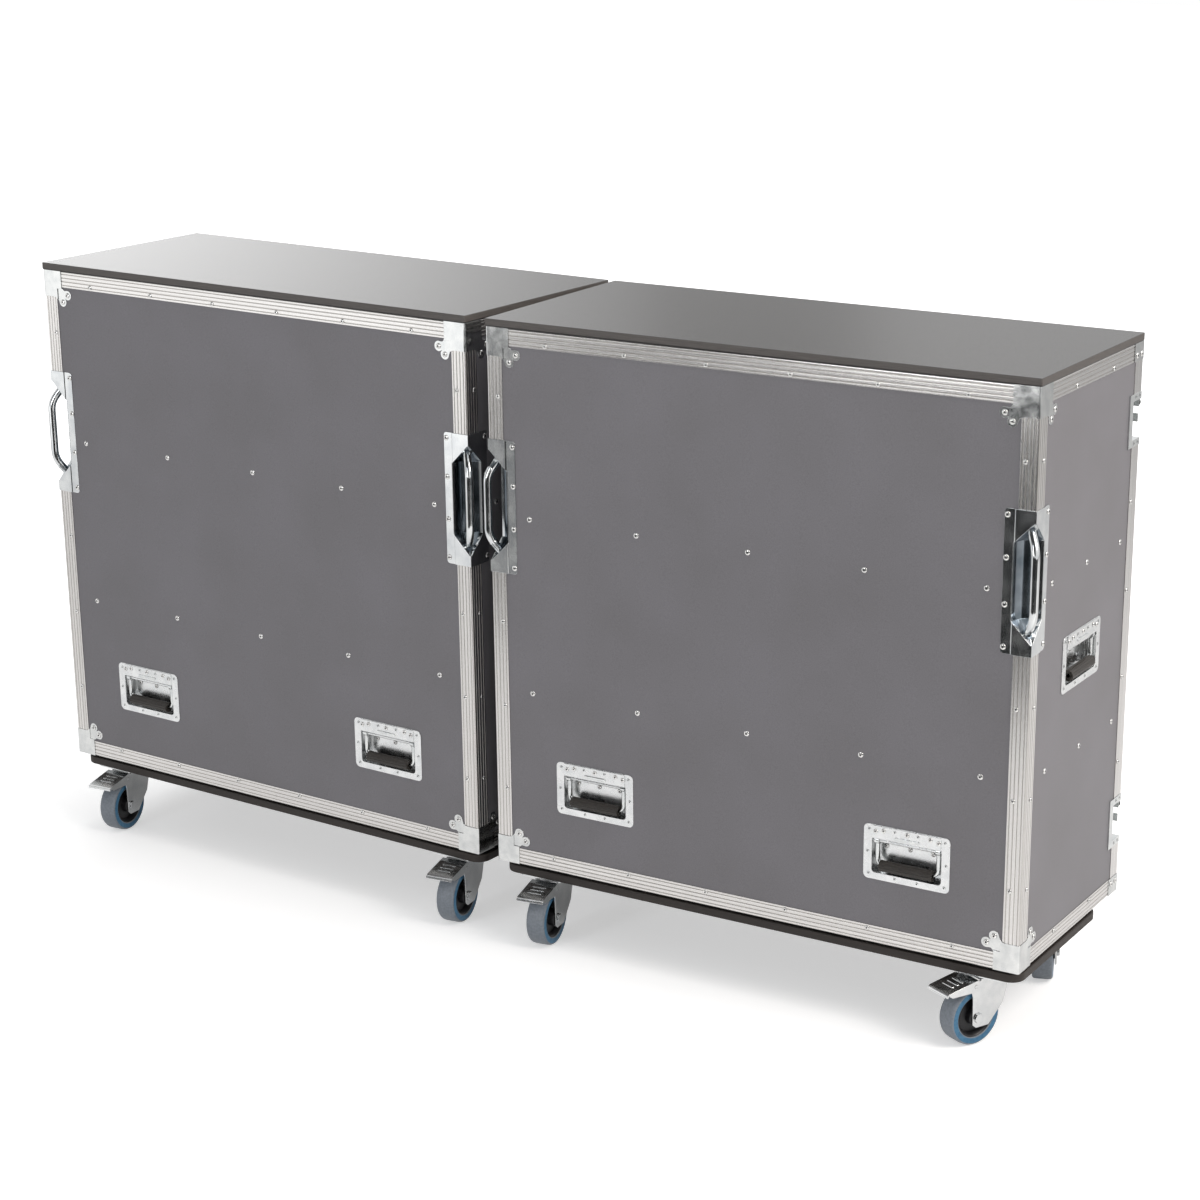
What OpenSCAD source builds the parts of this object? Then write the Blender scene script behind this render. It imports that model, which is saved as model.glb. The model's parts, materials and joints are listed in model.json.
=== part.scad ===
// Trade show counter case: two like half cases, hinged at their rear inner edges and opened side by side
// into a counter. Each half has a laminated plywood body with riveted aluminium edges, a black counter
// top, a black castor board on four braked castors, two recessed corner handles, spring handles and
// recessed latches. Millimetres, +Z up, the floor at z = 0, fronts towards -Y, the hinge pin on x = 0.

/* [Case body] */
// Width of one counter top
top_w = 1000; // [860:5:1200]
// Depth of one counter top
top_d = 416; // [390:2:500]
// Thickness of the counter top
top_t = 13; // [8:0.5:22]
// Height of the body between the castor board and the counter top
body_h = 953; // [880:1:1050]
// Overhang of the counter top past the aluminium edges
top_lip = 2; // [1.5:0.5:4]
// Thickness of the plywood panels
panel_t = 9.5; // [6.5:0.5:13]

/* [Halves] */
// Gap between the two counter tops where they meet at the hinge
half_gap = 13; // [12:0.5:20]
// Angle by which the fronts of the halves gape
gape = 3.72; // [1:0.1:8]
// Gap from each rear rim to the plane where the halves meet
rim_gap = 0.5; // [0.3:0.1:1.5]
// Seam between pieces that butt together
seam = 0.1; // [0.05:0.05:0.3]

/* [Castor board] */
// Thickness of the castor board
base_t = 24; // [18:1:30]
// Depth of the castor board
base_d = 332; // [320:2:345]
// How far the castor board lies behind the front of the counter top
base_front = 13; // [6:1:24]
// How far the castor board lies inside the sides of the counter top
base_side = 5; // [3:1:14]
// Radius of the castor board's corners
base_r = 25; // [10:1:40]

/* [Aluminium edges] */
// Leg of the edge angles
leg = 30; // [24:1:34]
// Wall of the edge angles and rim channels
wall = 1.5; // [1:0.1:2.5]
// Number of flutes along each leg
flutes = 4; // [2:1:5]
// Depth of a flute
flute_depth = 0.4; // [0.2:0.1:0.6]
// Width of a flute
flute_w = 1.6; // [0.8:0.1:2.4]
// Thickness of the rim channel's web
rim_web = 6; // [5:0.5:9]
// Inner leg of the rim channel
rim_inner = 18; // [12:1:28]
// Width of the tongue on the left rim
tongue_w = 3; // [2:0.5:4]
// Height of the tongue on the left rim
tongue_h = 2.5; // [1.5:0.5:3]
// Clearance of the tongue on each side in the groove of the right rim
groove_gap = 0.5; // [0.3:0.1:1]

/* [Corner braces] */
// Long side of a corner brace along the horizontal edge
brace_a = 40; // [34:1:48]
// Long side of a corner brace down the vertical edge
brace_c = 49; // [36:1:60]
// Thickness of the brace and handle sheet
sheet = 1.2; // [0.8:0.1:1.8]
// Distance of the brace's lobes from the corner along the diagonal
lobe_reach = 72; // [60:1:80]
// Distance between the brace's two lobes
lobe_pitch = 18.5; // [14:0.5:22]
// Radius of a lobe
lobe_r = 9; // [7:0.5:11]
// Radius of the hollow between a lobe and the brace's arms
neck_r = 12; // [8:1:16]
// Outer radius of the aluminium edge
edge_r = 2.5; // [1:0.25:3.5]

/* [Shelves] */
// Thickness of a shelf
shelf_t = 12; // [9:1:18]
// Depth of the upper rivet row below the top of the counter
upper_row = 336; // [290:1:380]
// Depth of the lower rivet row below the top of the counter
lower_row = 645; // [600:1:690]
// Leg of a shelf rail
rail_leg = 25; // [18:1:32]
// Wall of a shelf rail
rail_t = 2; // [1.5:0.5:3]
// Inset of the first panel rivet from the side of the counter top
rivet_side = 80; // [70:1:110]
// Inset of the first panel rivet from the front of the counter top
rivet_front = 79; // [70:1:90]
// Pitch of the panel rivets on a side
rivet_pitch = 140; // [110:1:150]
// Radius of a panel rivet's shank
rivet_r = 2.4; // [1.6:0.1:3.2]
// Radius of a panel rivet's head
rivet_head = 5; // [4.5:0.5:8]

/* [Corner handles] */
// Height of a corner handle
handle_h = 232; // [220:1:260]
// Width of a corner handle on each face
handle_w = 52; // [46:1:60]
// Depth of the handle's centre below the top of the counter
handle_drop = 320; // [280:1:380]
// Radius of the hand recess around the corner edge
recess_r = 35; // [32:1:38]
// Height of the recess at the corner edge
recess_h = 195; // [180:1:205]
// Diameter of the grip bar
bar_d = 14; // [10:1:16]
// How far the bar's middle bows out past the corner edge
bar_bow = 4; // [-2:1:6]
// Half the straight length of the bar
bar_half = 39; // [20:1:46]
// Angle of the bar's ends
bar_angle = 38; // [30:1:42]
// Bend radius of the bar
bar_bend = 45; // [30:1:50]
// Radius of the outer corners of the handle's sheet
handle_corner = 6; // [3:1:10]

/* [Spring handles] */
// Width of the flange of a spring handle
dish_w = 154; // [148:1:170]
// Height of the flange of a spring handle
dish_h = 95; // [92:1:110]
// Width of the dish's mouth
mouth_w = 124; // [118:1:132]
// Height of the dish's mouth
mouth_h = 63; // [60:1:68]
// Height of the mouth above the flange's lower edge
mouth_up = 12; // [9:1:14]
// Depth of the dish
dish_deep = 19; // [18:0.5:26]
// Height of the front handles' centres above the castor board
low_up = 159.5; // [110:0.5:210]
// Distance of a front handle's centre from the side of the counter top
low_side = 204; // [180:1:260]
// Depth of the side handle below the top of the counter
side_drop = 487; // [450:1:540]
// Diameter of the bail's rod
bail_d = 8; // [6:0.5:9]
// Width of the bail between the middles of its legs
bail_w = 109; // [102:1:110]
// Drop from the bail's pivot to its grip
bail_drop = 42; // [38:1:42]
// Diameter of the rubber grip
grip_d = 19; // [16:0.5:21]
// Diameter of the rod that the bail turns on
pivot_d = 6; // [4:0.5:7]
// Radial running clearance of pins in their bores
run_gap = 0.05; // [0.02:0.01:0.09]

/* [Latches] */
// Height of a latch dish
latch_h = 88; // [84:1:110]
// Depth below the top of the counter of the upper latch's centre
latch_upper = 140; // [130:1:200]
// Height of the lower latch's centre above the castor board
latch_up = 132; // [110:1:180]
// Reach of the keeper dish from the rim
keeper_w = 48; // [40:1:60]
// Reach of the turn latch's dish from the rim
turn_w = 64; // [58:1:80]
// Depth of the latch dishes
latch_deep = 14; // [13:0.5:18]
// Distance of the turn latch's spindle from the parting plane
spindle_in = 18; // [17:0.5:19]
// Outer radius of the latch's hook
hook_r = 26.5; // [25.5:0.5:27]

/* [Hinges] */
// Diameter of a hinge knuckle
knuckle_d = 12; // [10:0.5:12.5]
// Height of a hinge
hinge_h = 75; // [60:1:120]
// Thickness of a hinge leaf
leaf_t = 3; // [2:0.5:4]
// Width of a hinge leaf
leaf_w = 34; // [24:1:50]
// Distance of the end hinges from the ends of the body
hinge_end = 110; // [60:1:200]

/* [Castors] */
// Height of a castor from the floor to the castor board
castor_h = 126; // [122:0.5:135]
// Diameter of the wheel
wheel_d = 100; // [94:1:101]
// Width of the tread
tread_w = 35; // [28:0.5:37]
// Distance of the axle from the swivel axis
trail = 40; // [36:1:42]
// Inset of the swivel axes from the sides of the counter top
castor_side = 80; // [74:1:90]
// Inset of the front swivel axes from the front of the counter top
castor_front = 66; // [62:1:72]
// Distance between the front and rear swivel axes
castor_pitch = 226; // [224:1:232]
// Thickness of the fork's sheet
fork_t = 3; // [2:0.5:4]
// Width of the swivel plate across the case
plate_w = 84; // [76:1:92]
// Length of the swivel plate along the case
plate_l = 100; // [92:1:104]
// Angle through which the brake pedal can be pressed
pedal_press = 9; // [4:1:10]

/* [Hidden] */
$fn = 64;
GLUE = 0.01;
OVER = 1;

// heights
base_z = castor_h;
body_z = base_z + base_t;
top_z = body_z + body_h;
total_h = top_z + top_t;
mid_z = body_z + body_h / 2;

// body faces in the half's own frame: x = 0 and y = 0 are the counter top's hinge side and the parting plane
face_x0 = top_lip;
face_x1 = top_w - top_lip;
face_y = -(top_d + 2 * rim_gap - top_lip);
mid_x = top_w / 2;
top_front = -(top_d + 2 * rim_gap);
in_x0 = face_x0 + wall + panel_t;
in_x1 = face_x1 - wall - panel_t;
in_y = face_y + wall + panel_t;
in_z0 = body_z + wall + panel_t;
in_z1 = top_z - wall - panel_t;
rim_y = -rim_gap;
panel_rear = rim_y - rim_web;
rim_front = rim_y - leg;
rim_t = panel_t + 2 * wall;
low_z = body_z + low_up;
latch_z = [total_h - latch_upper, body_z + latch_up];

// the halves' place: the part's box is centred on the origin, and the hinge pin stands at hinge_y
pin_off = half_gap / 2;
half_gape = gape / 2;
pedal_reach = 108;
front_swivel_y = -(top_d + 2 * rim_gap - castor_front);
rear_swivel_y = front_swivel_y + castor_pitch;

// castor pieces, in the castor's own frame: x along the trail, z from the floor
wheel_r = wheel_d / 2;
axle_z = wheel_r;
hub_r = 36;
hub_half = tread_w / 2 + 2.4;
axle_r = 6;
leg_in = hub_half + 0.4;
leg_out = leg_in + fork_t;
plate_t = 3;
race_r = 31;
race_gap = 0.5;
race_t = 4;
race_z = castor_h - plate_t - race_t;
crown_z = race_z - race_gap - 3.5;
king_r = 6;
nut_r = 10;
nut_t = 5;
nut_z = crown_z - race_gap - nut_t;
axle_nut_r = 9;
axle_nut_t = 4;
hole_in = 11;
hole_r = 4.5;
brake_gap = 1.1;
shoe_t = 3;
shoe_half = 14;
pedal_x = 48;
pedal_z = crown_z - 7;
pedal_pin_r = 3;
cheek_gap = 0.4;
cheek_t = 2;
pedal_w = 2 * (leg_out + cheek_gap + cheek_t);
pedal_top = crown_z + 2.5;
drill = 2 * pedal_w;

// castors: name, side (1 right, -1 left), swivel place in the half, and the way that the wheel trails
CASTORS = [
    ["left_outer_front", -1, top_w - castor_side, front_swivel_y, 276],
    ["left_inner_front", -1, castor_side, front_swivel_y, 278],
    ["left_outer_rear", -1, top_w - castor_side, rear_swivel_y, 94],
    ["left_inner_rear", -1, castor_side, rear_swivel_y, 83],
    ["right_inner_front", 1, castor_side, front_swivel_y, 279],
    ["right_outer_front", 1, top_w - castor_side, front_swivel_y, 246],
    ["right_inner_rear", 1, castor_side, rear_swivel_y, 98],
    ["right_outer_rear", 1, top_w - castor_side, rear_swivel_y, 112]
];
function swivel_x(c) = c[1] * (cos(half_gape) * (pin_off + c[2]) - sin(half_gape) * c[3]);
function swivel_y(c) = sin(half_gape) * (pin_off + c[2]) + cos(half_gape) * c[3];

// the box in y: from the foremost pedal tip to the rim at the far end
far_rim_y = sin(half_gape) * (pin_off + face_x1 + sheet) + cos(half_gape) * rim_y;
far_tongue_y = sin(half_gape) * (pin_off + face_x1 - rim_t / 2 + tongue_w / 2)
             + cos(half_gape) * (rim_y + tongue_h);
function tip_y(c) = swivel_y(c) + min([for (s = [-1, 1])
    sin(c[4]) * pedal_reach + cos(c[4]) * s * (pedal_w / 2)]);
front_tip_y = min([for (c = CASTORS) tip_y(c)]);
hinge_y = -(max(far_rim_y, far_tongue_y) + front_tip_y) / 2;

// spring handle: flange lower edge, mouth and bail places about the flange's centre
mouth_z = -dish_h / 2 + mouth_up + mouth_h / 2;
mouth_r = 6;
flange_r = 9;
flange_t = 1.5;
pivot_y = 5.5;
eye_r = bail_d / 2 + 2;
pivot_z = mouth_z + mouth_h / 2 - eye_r - 2.3;
bail_r = 12;
strip_z = pivot_z + bail_d / 2 + 1;
strip_t = 1.5;
dish_hole = 1;
seat = 0.3;

// latches
latch_mouth = 64;
latch_seat = 1.2;
finger_w = 4;
finger_t = 3;
finger_x = latch_deep - latch_seat - 1.2 - finger_t;
spindle_r = 4;
wing_r = 16;
buffer_r = 6;
buffer_z = 25.8;
keeper_half = 7;

// where braces and handles step down from the aluminium edge to the panel, seen from the corner
step_at = leg + 2;

// rivets: a domed head's sphere; small brace plates at the rear corners
rivet_dome = 1.9;
dome_r = (rivet_head * rivet_head + rivet_dome * rivet_dome) / (2 * rivet_dome);
rear_brace_w = 37;
knuckle_gap = 0.2;

BODY = ["top", "panels", "shelves", "shelf_rails", "edge_angles", "rim_channels", "corner_braces",
        "rivets", "castor_board", "castor_plates", "corner_handles", "spring_dishes", "latch_dishes"];
BAILS = ["bail_inner", "bail_outer", "bail_side"];
LATCHES = ["latch_upper", "latch_lower"];

// the half's own frame to its place: the right half turns about the hinge pin, the left one is its mirror
module right_half()
    translate([0, hinge_y, 0]) rotate([0, 0, half_gape]) translate([pin_off, 0, 0]) children();

module left_half()
    mirror([1, 0, 0]) right_half() children();

module on_side(side)
    if (side == "right") right_half() children();
    else left_half() children();

// a length drawn along +z, laid along +x or back along -y, with its own -x side up
module along_x() multmatrix([[0, 0, 1, 0], [0, 1, 0, 0], [-1, 0, 0, 0]]) children();
module along_y() multmatrix([[0, -1, 0, 0], [0, 0, -1, 0], [-1, 0, 0, 0]]) children();

// copies mirrored about the half's middle
module both_sides() { children(); translate([2 * mid_x, 0, 0]) mirror([1, 0, 0]) children(); }
module top_and_bottom() { children(); translate([0, 0, 2 * mid_z]) mirror([0, 0, 1]) children(); }

module box(x, y, z) translate([x[0], y[0], z[0]]) cube([x[1] - x[0], y[1] - y[0], z[1] - z[0]]);

module rounded(w, h, r)
    union() {
        square([w - 2 * r, h], center = true);
        square([w, h - 2 * r], center = true);
        for (sx = [-1, 1], sz = [-1, 1]) translate([sx * (w / 2 - r), sz * (h / 2 - r)]) circle(r);
    }

// a plate in the x-z plane, from y0 towards +y
module upright(y0, t) translate([0, y0 + t, 0]) rotate([90, 0, 0]) linear_extrude(t) children();

// places: the front corners (children drawn at the far one), spring handles and latches
module at_far_corner() translate([face_x1, face_y, total_h - handle_drop]) rotate([0, 0, 90]) children();
module at_front(x) translate([x, face_y + wall, low_z]) children();
module at_side()
    translate([face_x1 - wall, top_front / 2, total_h - side_drop]) rotate([0, 0, 90]) children();
module at_latch(z) translate([face_x1, 0, z]) children();

// hand recess: a drum around the corner edge with a cone at each end
module recess(r)
    rotate_extrude() polygon([[0, recess_h / 2 + r - recess_r], [r, recess_h / 2 - recess_r],
                              [r, -recess_h / 2 + recess_r], [0, -recess_h / 2 - r + recess_r]]);

module corner_cuts(gap) both_sides() at_far_corner() recess(recess_r + sheet + gap);

module dish_cut(gap)
    upright(-dish_deep, 2 * dish_deep + panel_t) translate([0, mouth_z])
        rounded(mouth_w + 2 * (sheet + gap), mouth_h + 2 * (sheet + gap), mouth_r);

module latch_cuts(w) {
    half_cut = latch_mouth / 2 + sheet + seat;
    for (z = latch_z) at_latch(z)
        box([-latch_deep - seat, latch_deep], [-w, tongue_h + OVER], [-half_cut, half_cut]);
}

// how far the latch recess runs in from the parting plane on each half
function latch_in(side) = side == "right" ? keeper_w - 14 : turn_w - 14;

module hinge_places()
    for (z = [body_z + hinge_end, mid_z, top_z - hinge_end]) translate([0, 0, z]) children();

module top(side) color([0.2, 0.19, 0.19])
    on_side(side) box([0, top_w], [top_front, -2 * rim_gap], [top_z, total_h]);

// rivets through the panels and rails
function row_x(i) = rivet_side + i * (top_w - 2 * rivet_side) / 4;
module front_rivets() for (drop = [upper_row, lower_row], i = [0:4])
    translate([row_x(i), face_y + wall, total_h - drop]) children();
module side_rivets() for (drop = [upper_row, lower_row], i = [0:2])
    translate([face_x1 - wall, top_front + rivet_front + i * rivet_pitch, total_h - drop]) rotate([0, 0, 90])
        children();
module rivet_shank(r, len) rotate([-90, 0, 0]) cylinder(r = r, h = len);
module all_rivets() { front_rivets() children(); both_sides() side_rivets() children(); }

// five panels that meet at the corners under the aluminium edges
module panels(side) color([0.45, 0.43, 0.44]) on_side(side) {
    difference() {
        box([face_x0 + wall, face_x1 - wall], [face_y + wall, in_y - seam], [body_z + wall, top_z - wall]);
        corner_cuts(seat);
        for (x = [low_side, top_w - low_side]) at_front(x) dish_cut(dish_hole);
        front_rivets() rivet_shank(rivet_r + seam, panel_t + OVER);
    }
    for (far = [true, false]) difference() {
        box(far ? [in_x1, face_x1 - wall] : [face_x0 + wall, in_x0], [in_y, panel_rear],
            [body_z + wall, top_z - wall]);
        corner_cuts(seat);
        if (far) at_side() dish_cut(dish_hole);
        if (far) latch_cuts(latch_in(side) + sheet + seat);
        both_sides() side_rivets() translate([0, -OVER, 0]) rivet_shank(rivet_r + seam, panel_t + 2 * OVER);
    }
    for (z = [[body_z + wall, in_z0], [in_z1, top_z - wall]])
        box([in_x0 + seam, in_x1 - seam], [in_y, panel_rear], z);
}

// shelf rails: angles riveted to the front and the sides, with the shelf on their upper legs
module rail(len) linear_extrude(len) polygon([[0, 0], [rail_leg, 0], [rail_leg, rail_t], [rail_t, rail_t],
                                              [rail_t, rail_leg], [0, rail_leg]]);

module shelf_rails(side) color([0.75, 0.75, 0.76]) on_side(side)
    for (drop = [upper_row, lower_row]) difference() {
        union() {
            translate([in_x0 + rail_leg + seam, in_y, total_h - drop + rail_leg / 2])
                along_x() rail(in_x1 - in_x0 - 2 * rail_leg - 2 * seam);
            both_sides() translate([in_x1, panel_rear - rim_inner, total_h - drop + rail_leg / 2])
                along_y() rail(panel_rear - rim_inner - in_y);
        }
        corner_cuts(1);
        all_rivets() rivet_shank(rivet_r + seam, panel_t + rail_t + OVER);
    }

module shelves(side) color([0.45, 0.43, 0.44]) on_side(side)
    for (drop = [upper_row, lower_row]) difference() {
        box([in_x0 + 0.5, in_x1 - 0.5], [in_y + 0.5, panel_rear - rim_inner - 2],
            [total_h - drop + rail_leg / 2, total_h - drop + rail_leg / 2 + shelf_t]);
        corner_cuts(1.5);
        at_side() upright(-dish_deep, 2 * dish_deep + 3) square([mouth_w + 12, dish_h], center = true);
    }

// blind rivets: a domed head, a shank through panel and rail, and a set tail behind the rail
module rivets(side) color([0.8, 0.8, 0.8]) on_side(side) all_rivets() {
    rivet_shank(rivet_r, panel_t + rail_t);
    intersection() {
        translate([0, dome_r - rivet_dome, 0]) sphere(r = dome_r);
        box([-rivet_head, rivet_head], [-2 * rivet_dome, 0], [-rivet_head, rivet_head]);
    }
    translate([0, panel_t + rail_t, 0]) rivet_shank(1.5 * rivet_r, rivet_r);
}

// fluted angle along +z with its outer corner on the z axis and its legs along +x and +y
function flute_at(i) = wall + 4 + i * (leg - wall - 8) / (flutes - 1) - flute_w / 2;
function flute(u) = [[u, 0], [u, flute_depth], [u + flute_w, flute_depth], [u + flute_w, 0]];
function leg_line() = [for (i = [0:flutes - 1]) each flute(flute_at(i))];
function swapped(p) = [for (i = [len(p) - 1:-1:0]) [p[i][1], p[i][0]]];
module angle_profile()
    intersection() {
        polygon(concat([[0, 0]], leg_line(), [[leg, 0], [leg, wall], [wall, wall], [wall, leg], [0, leg]],
                       swapped(leg_line())));
        union() {
            translate([edge_r, edge_r]) circle(edge_r);
            translate([edge_r, -OVER]) square([leg, leg + 2 * OVER]);
            translate([-OVER, edge_r]) square([leg + 2 * OVER, leg]);
        }
    }

module edge_angles(side) color([0.82, 0.81, 0.8]) on_side(side) {
    both_sides() difference() {
        translate([face_x1, face_y, body_z]) rotate([0, 0, 90]) linear_extrude(body_h) angle_profile();
        corner_cuts(seat);
    }
    top_and_bottom() {
        translate([face_x0 + leg + seam, face_y, top_z]) along_x()
            linear_extrude(face_x1 - face_x0 - 2 * leg - 2 * seam) angle_profile();
        both_sides() translate([face_x1, rim_front - seam, top_z]) along_y()
            linear_extrude(rim_front - face_y - leg - 2 * seam) angle_profile();
    }
}

// rim channel profile along +z: outer leg on the x axis side, web at y = 0, with a groove or a tongue
module rim_section(side, inner_leg) {
    difference() {
        union() {
            square([rim_t, rim_web]);
            square([wall, leg]);
            if (inner_leg) translate([rim_t - wall, 0]) square([wall, rim_web + rim_inner]);
            if (side == "left") translate([rim_t / 2 - tongue_w / 2, -tongue_h])
                square([tongue_w, tongue_h + rim_web / 2]);
        }
        if (side == "right") translate([rim_t / 2 - tongue_w / 2 - groove_gap, -OVER])
            square([tongue_w + 2 * groove_gap, OVER + tongue_h + 2 * groove_gap]);
    }
}

module rim_channels(side) color([0.82, 0.81, 0.8]) on_side(side) {
    for (far = [true, false]) difference() {
        union() {
            translate(far ? [face_x1, rim_y, body_z] : [face_x0, rim_y, body_z])
                mirror([far ? 1 : 0, 0, 0]) mirror([0, 1, 0]) linear_extrude(body_h) rim_section(side, false);
            translate(far ? [face_x1, rim_y, in_z0] : [face_x0, rim_y, in_z0])
                mirror([far ? 1 : 0, 0, 0]) mirror([0, 1, 0]) linear_extrude(in_z1 - in_z0)
                    translate([rim_t - wall, 0]) square([wall, rim_web + rim_inner]);
        }
        if (far) latch_cuts(latch_in(side) + sheet + seat);
    }
    top_and_bottom() translate([face_x0 + rim_t + seam, rim_y, top_z])
        along_x() mirror([0, 1, 0])
            linear_extrude(face_x1 - face_x0 - 2 * rim_t - 2 * seam) rim_section(side, true);
}

// one face of a corner brace in the (inward, down) plane, with its corner at the origin: an arm along each
// edge and a tongue on the diagonal with two lobes; a hollow of neck_r runs from the end of each arm into its
// lobe, and touches the lobe's circle
lobe_far = (lobe_reach + lobe_pitch / 2) / sqrt(2);
lobe_near = (lobe_reach - lobe_pitch / 2) / sqrt(2);
function hollow_at(arm) = lobe_near - sqrt(pow(neck_r + lobe_r, 2) - pow(arm + neck_r - lobe_far, 2));

module brace_half(arm) {
    start = hollow_at(arm);
    touch = lobe_r / (lobe_r + neck_r);
    difference() {
        polygon([[edge_r, 0], [arm, 0], [arm, start],
                 [lobe_far + touch * (arm + neck_r - lobe_far), lobe_near + touch * (start - lobe_near)],
                 [lobe_far, lobe_near], [lobe_near, lobe_near], [edge_r, edge_r]]);
        translate([arm + neck_r, start]) circle(neck_r);
    }
    translate([lobe_far, lobe_near]) circle(lobe_r);
}

module brace_face() union() {
    brace_half(brace_a);
    mirror([1, -1]) brace_half(brace_c);
    translate([edge_r, 0]) square([lobe_near - edge_r, lobe_near]);
    rotate(45) translate([lobe_reach / 2, 0]) square([lobe_reach, lobe_pitch], center = true);
}

// the brace's sheet on one face: its arms lie on the aluminium and its lobes step down to the panel
module brace_sheet() {
    far = 2 * lobe_reach;
    intersection() {
        mirror([0, 0, 1]) upright(-sheet, sheet + wall) brace_face();
        difference() {
            box([edge_r, far], [-sheet, wall], [-far, 0]);
            box([0, step_at], [0, 2 * wall], [-2 * far, OVER]);
            box([0, 2 * far], [0, 2 * wall], [-step_at, OVER]);
            box([step_at + sheet, 2 * far], [-2 * sheet, wall - sheet], [-2 * far, -step_at - sheet]);
        }
    }
}

// the brace hugs the rounded edge between its two faces
module brace() {
    brace_sheet();
    mirror([1, -1, 0]) brace_sheet();
    translate([edge_r, edge_r, -brace_c]) intersection() {
        difference() {
            cylinder(r = edge_r + sheet, h = brace_c);
            translate([0, 0, -OVER]) cylinder(r = edge_r, h = brace_c + 2 * OVER);
        }
        box([-2 * edge_r, GLUE], [-2 * edge_r, GLUE], [0, brace_c]);
    }
}

module corner_braces(side) color([0.78, 0.79, 0.8]) on_side(side) top_and_bottom() both_sides() {
    translate([face_x1, face_y, top_z]) rotate([0, 0, 90]) brace();
    translate([face_x1, rim_y, top_z]) box([0, sheet], [-rear_brace_w, 0], [-leg, 0]);
}

module castor_board(side) color([0.16, 0.15, 0.14]) on_side(side)
    translate([mid_x, top_front + base_front + base_d / 2, base_z])
        linear_extrude(base_t) rounded(top_w - 2 * base_side, base_d, base_r);

// castor plate: swivel plate, fixed race and king bolt with its nut under the fork's crown
module castor_plate() {
    difference() {
        translate([0, 0, castor_h - plate_t]) linear_extrude(plate_t) rounded(plate_w, plate_l, 6);
        for (sx = [-1, 1], sy = [-1, 1])
            translate([sx * (plate_w / 2 - hole_in), sy * (plate_l / 2 - hole_in), castor_h - plate_t - OVER])
                cylinder(r = hole_r, h = plate_t + 2 * OVER);
    }
    translate([0, 0, race_z]) cylinder(r = race_r, h = race_t + GLUE);
    translate([0, 0, nut_z]) cylinder(r = king_r, h = castor_h - plate_t - nut_z);
    translate([0, 0, nut_z]) cylinder(r = nut_r, h = nut_t, $fn = 6);
}

// a round bar or drill across the castor, centred on its middle plane
module across(x, z, r, len) translate([x, -len / 2, z]) rotate([-90, 0, 0]) cylinder(r = r, h = len);

module castor_plates(side) color([0.8, 0.8, 0.8])
    for (c = CASTORS) if ((side == "right") == (c[1] == 1))
        translate([swivel_x(c), hinge_y + swivel_y(c), 0]) rotate([0, 0, c[1] * half_gape]) castor_plate();

// fork: a crown that turns on the king bolt and two legs that carry the axle
module fork_leg() polygon([
    [-18, crown_z], [-20, crown_z - 22], [-12, axle_z + 16], [18, axle_z - 17], [44, axle_z - 17],
    [51, axle_z - 11], [52, axle_z + 38], [56, pedal_z - 6], [56, pedal_z + 1], [46, crown_z - 0.5],
    [38, crown_z]]);

module fork(c) color([0.8, 0.8, 0.81])
    translate([swivel_x(c), hinge_y + swivel_y(c), 0]) rotate([0, 0, c[4]]) {
        difference() {
            union() {
                for (s = [-1, 1]) upright(s > 0 ? leg_in : -leg_out, fork_t) fork_leg();
                box([-18, 36], [-leg_out, leg_out], [crown_z, crown_z + 2.5]);
                translate([0, 0, crown_z]) cylinder(r = race_r - 3, h = 3.5);
            }
            translate([0, 0, crown_z - OVER]) cylinder(r = king_r + run_gap, h = race_t + 2 * OVER);
            across(trail, axle_z, axle_r + run_gap, drill);
            across(pedal_x, pedal_z, pedal_pin_r + run_gap, drill);
        }
        across(trail, axle_z, axle_r, 2 * (leg_out + OVER));
        for (s = [-1, 1]) translate([trail, s * (leg_out + seam), axle_z]) rotate([s > 0 ? -90 : 90, 0, 0])
            cylinder(r = axle_nut_r, h = axle_nut_t, $fn = 6);
        across(pedal_x, pedal_z, pedal_pin_r, pedal_w + OVER);
    }

// wheel: a rounded tyre on a black hub with a bore for the axle
module wheel(c) translate([swivel_x(c), hinge_y + swivel_y(c), 0]) rotate([0, 0, c[4]])
    translate([trail, 0, axle_z]) rotate([90, 0, 0]) {
        color([0.45, 0.46, 0.5]) rotate_extrude() {
                translate([hub_r + seam, -tread_w / 2]) square([wheel_r - hub_r - seam - 5, tread_w]);
                translate([hub_r + seam, -tread_w / 2 + 5]) square([wheel_r - hub_r - seam, tread_w - 10]);
                for (s = [-1, 1]) translate([wheel_r - 5, s * (tread_w / 2 - 5)]) circle(5);
        }
        color([0.08, 0.08, 0.09]) rotate_extrude() {
            translate([axle_r + run_gap, -hub_half]) square([8, 2 * hub_half]);
            translate([axle_r + 7, -4]) square([hub_r - axle_r - 9, 8]);
            translate([hub_r - 4, -tread_w / 2 + 2]) square([4, tread_w - 4]);
        }
    }

// brake pedal: a sloping tread plate with a rolled tip and two cheeks on the pivot pin
module pedal_cheek() polygon([
    [pedal_x - 7, pedal_z - 5], [pedal_x - 8, pedal_z + 4], [pedal_x - 4, pedal_top - 1.5],
    [pedal_reach - 6, pedal_top - 11], [pedal_reach - 5, pedal_top - 14], [pedal_reach - 12, pedal_z - 9],
    [pedal_x + 8, pedal_z - 10], [pedal_x, pedal_z - 8]]);

module pedal_plate() polygon([
    [pedal_x - 6, pedal_top - 0.3], [pedal_x - 4, pedal_top + 0.7], [pedal_reach - 5, pedal_top - 9.4],
    [pedal_reach - 1, pedal_top - 12], [pedal_reach, pedal_top - 16], [pedal_reach - 2, pedal_top - 17],
    [pedal_reach - 3.2, pedal_top - 13.4], [pedal_reach - 6, pedal_top - 11.5],
    [pedal_x - 4, pedal_top - 1.6], [pedal_x - 6, pedal_top - 2]]);

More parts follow.
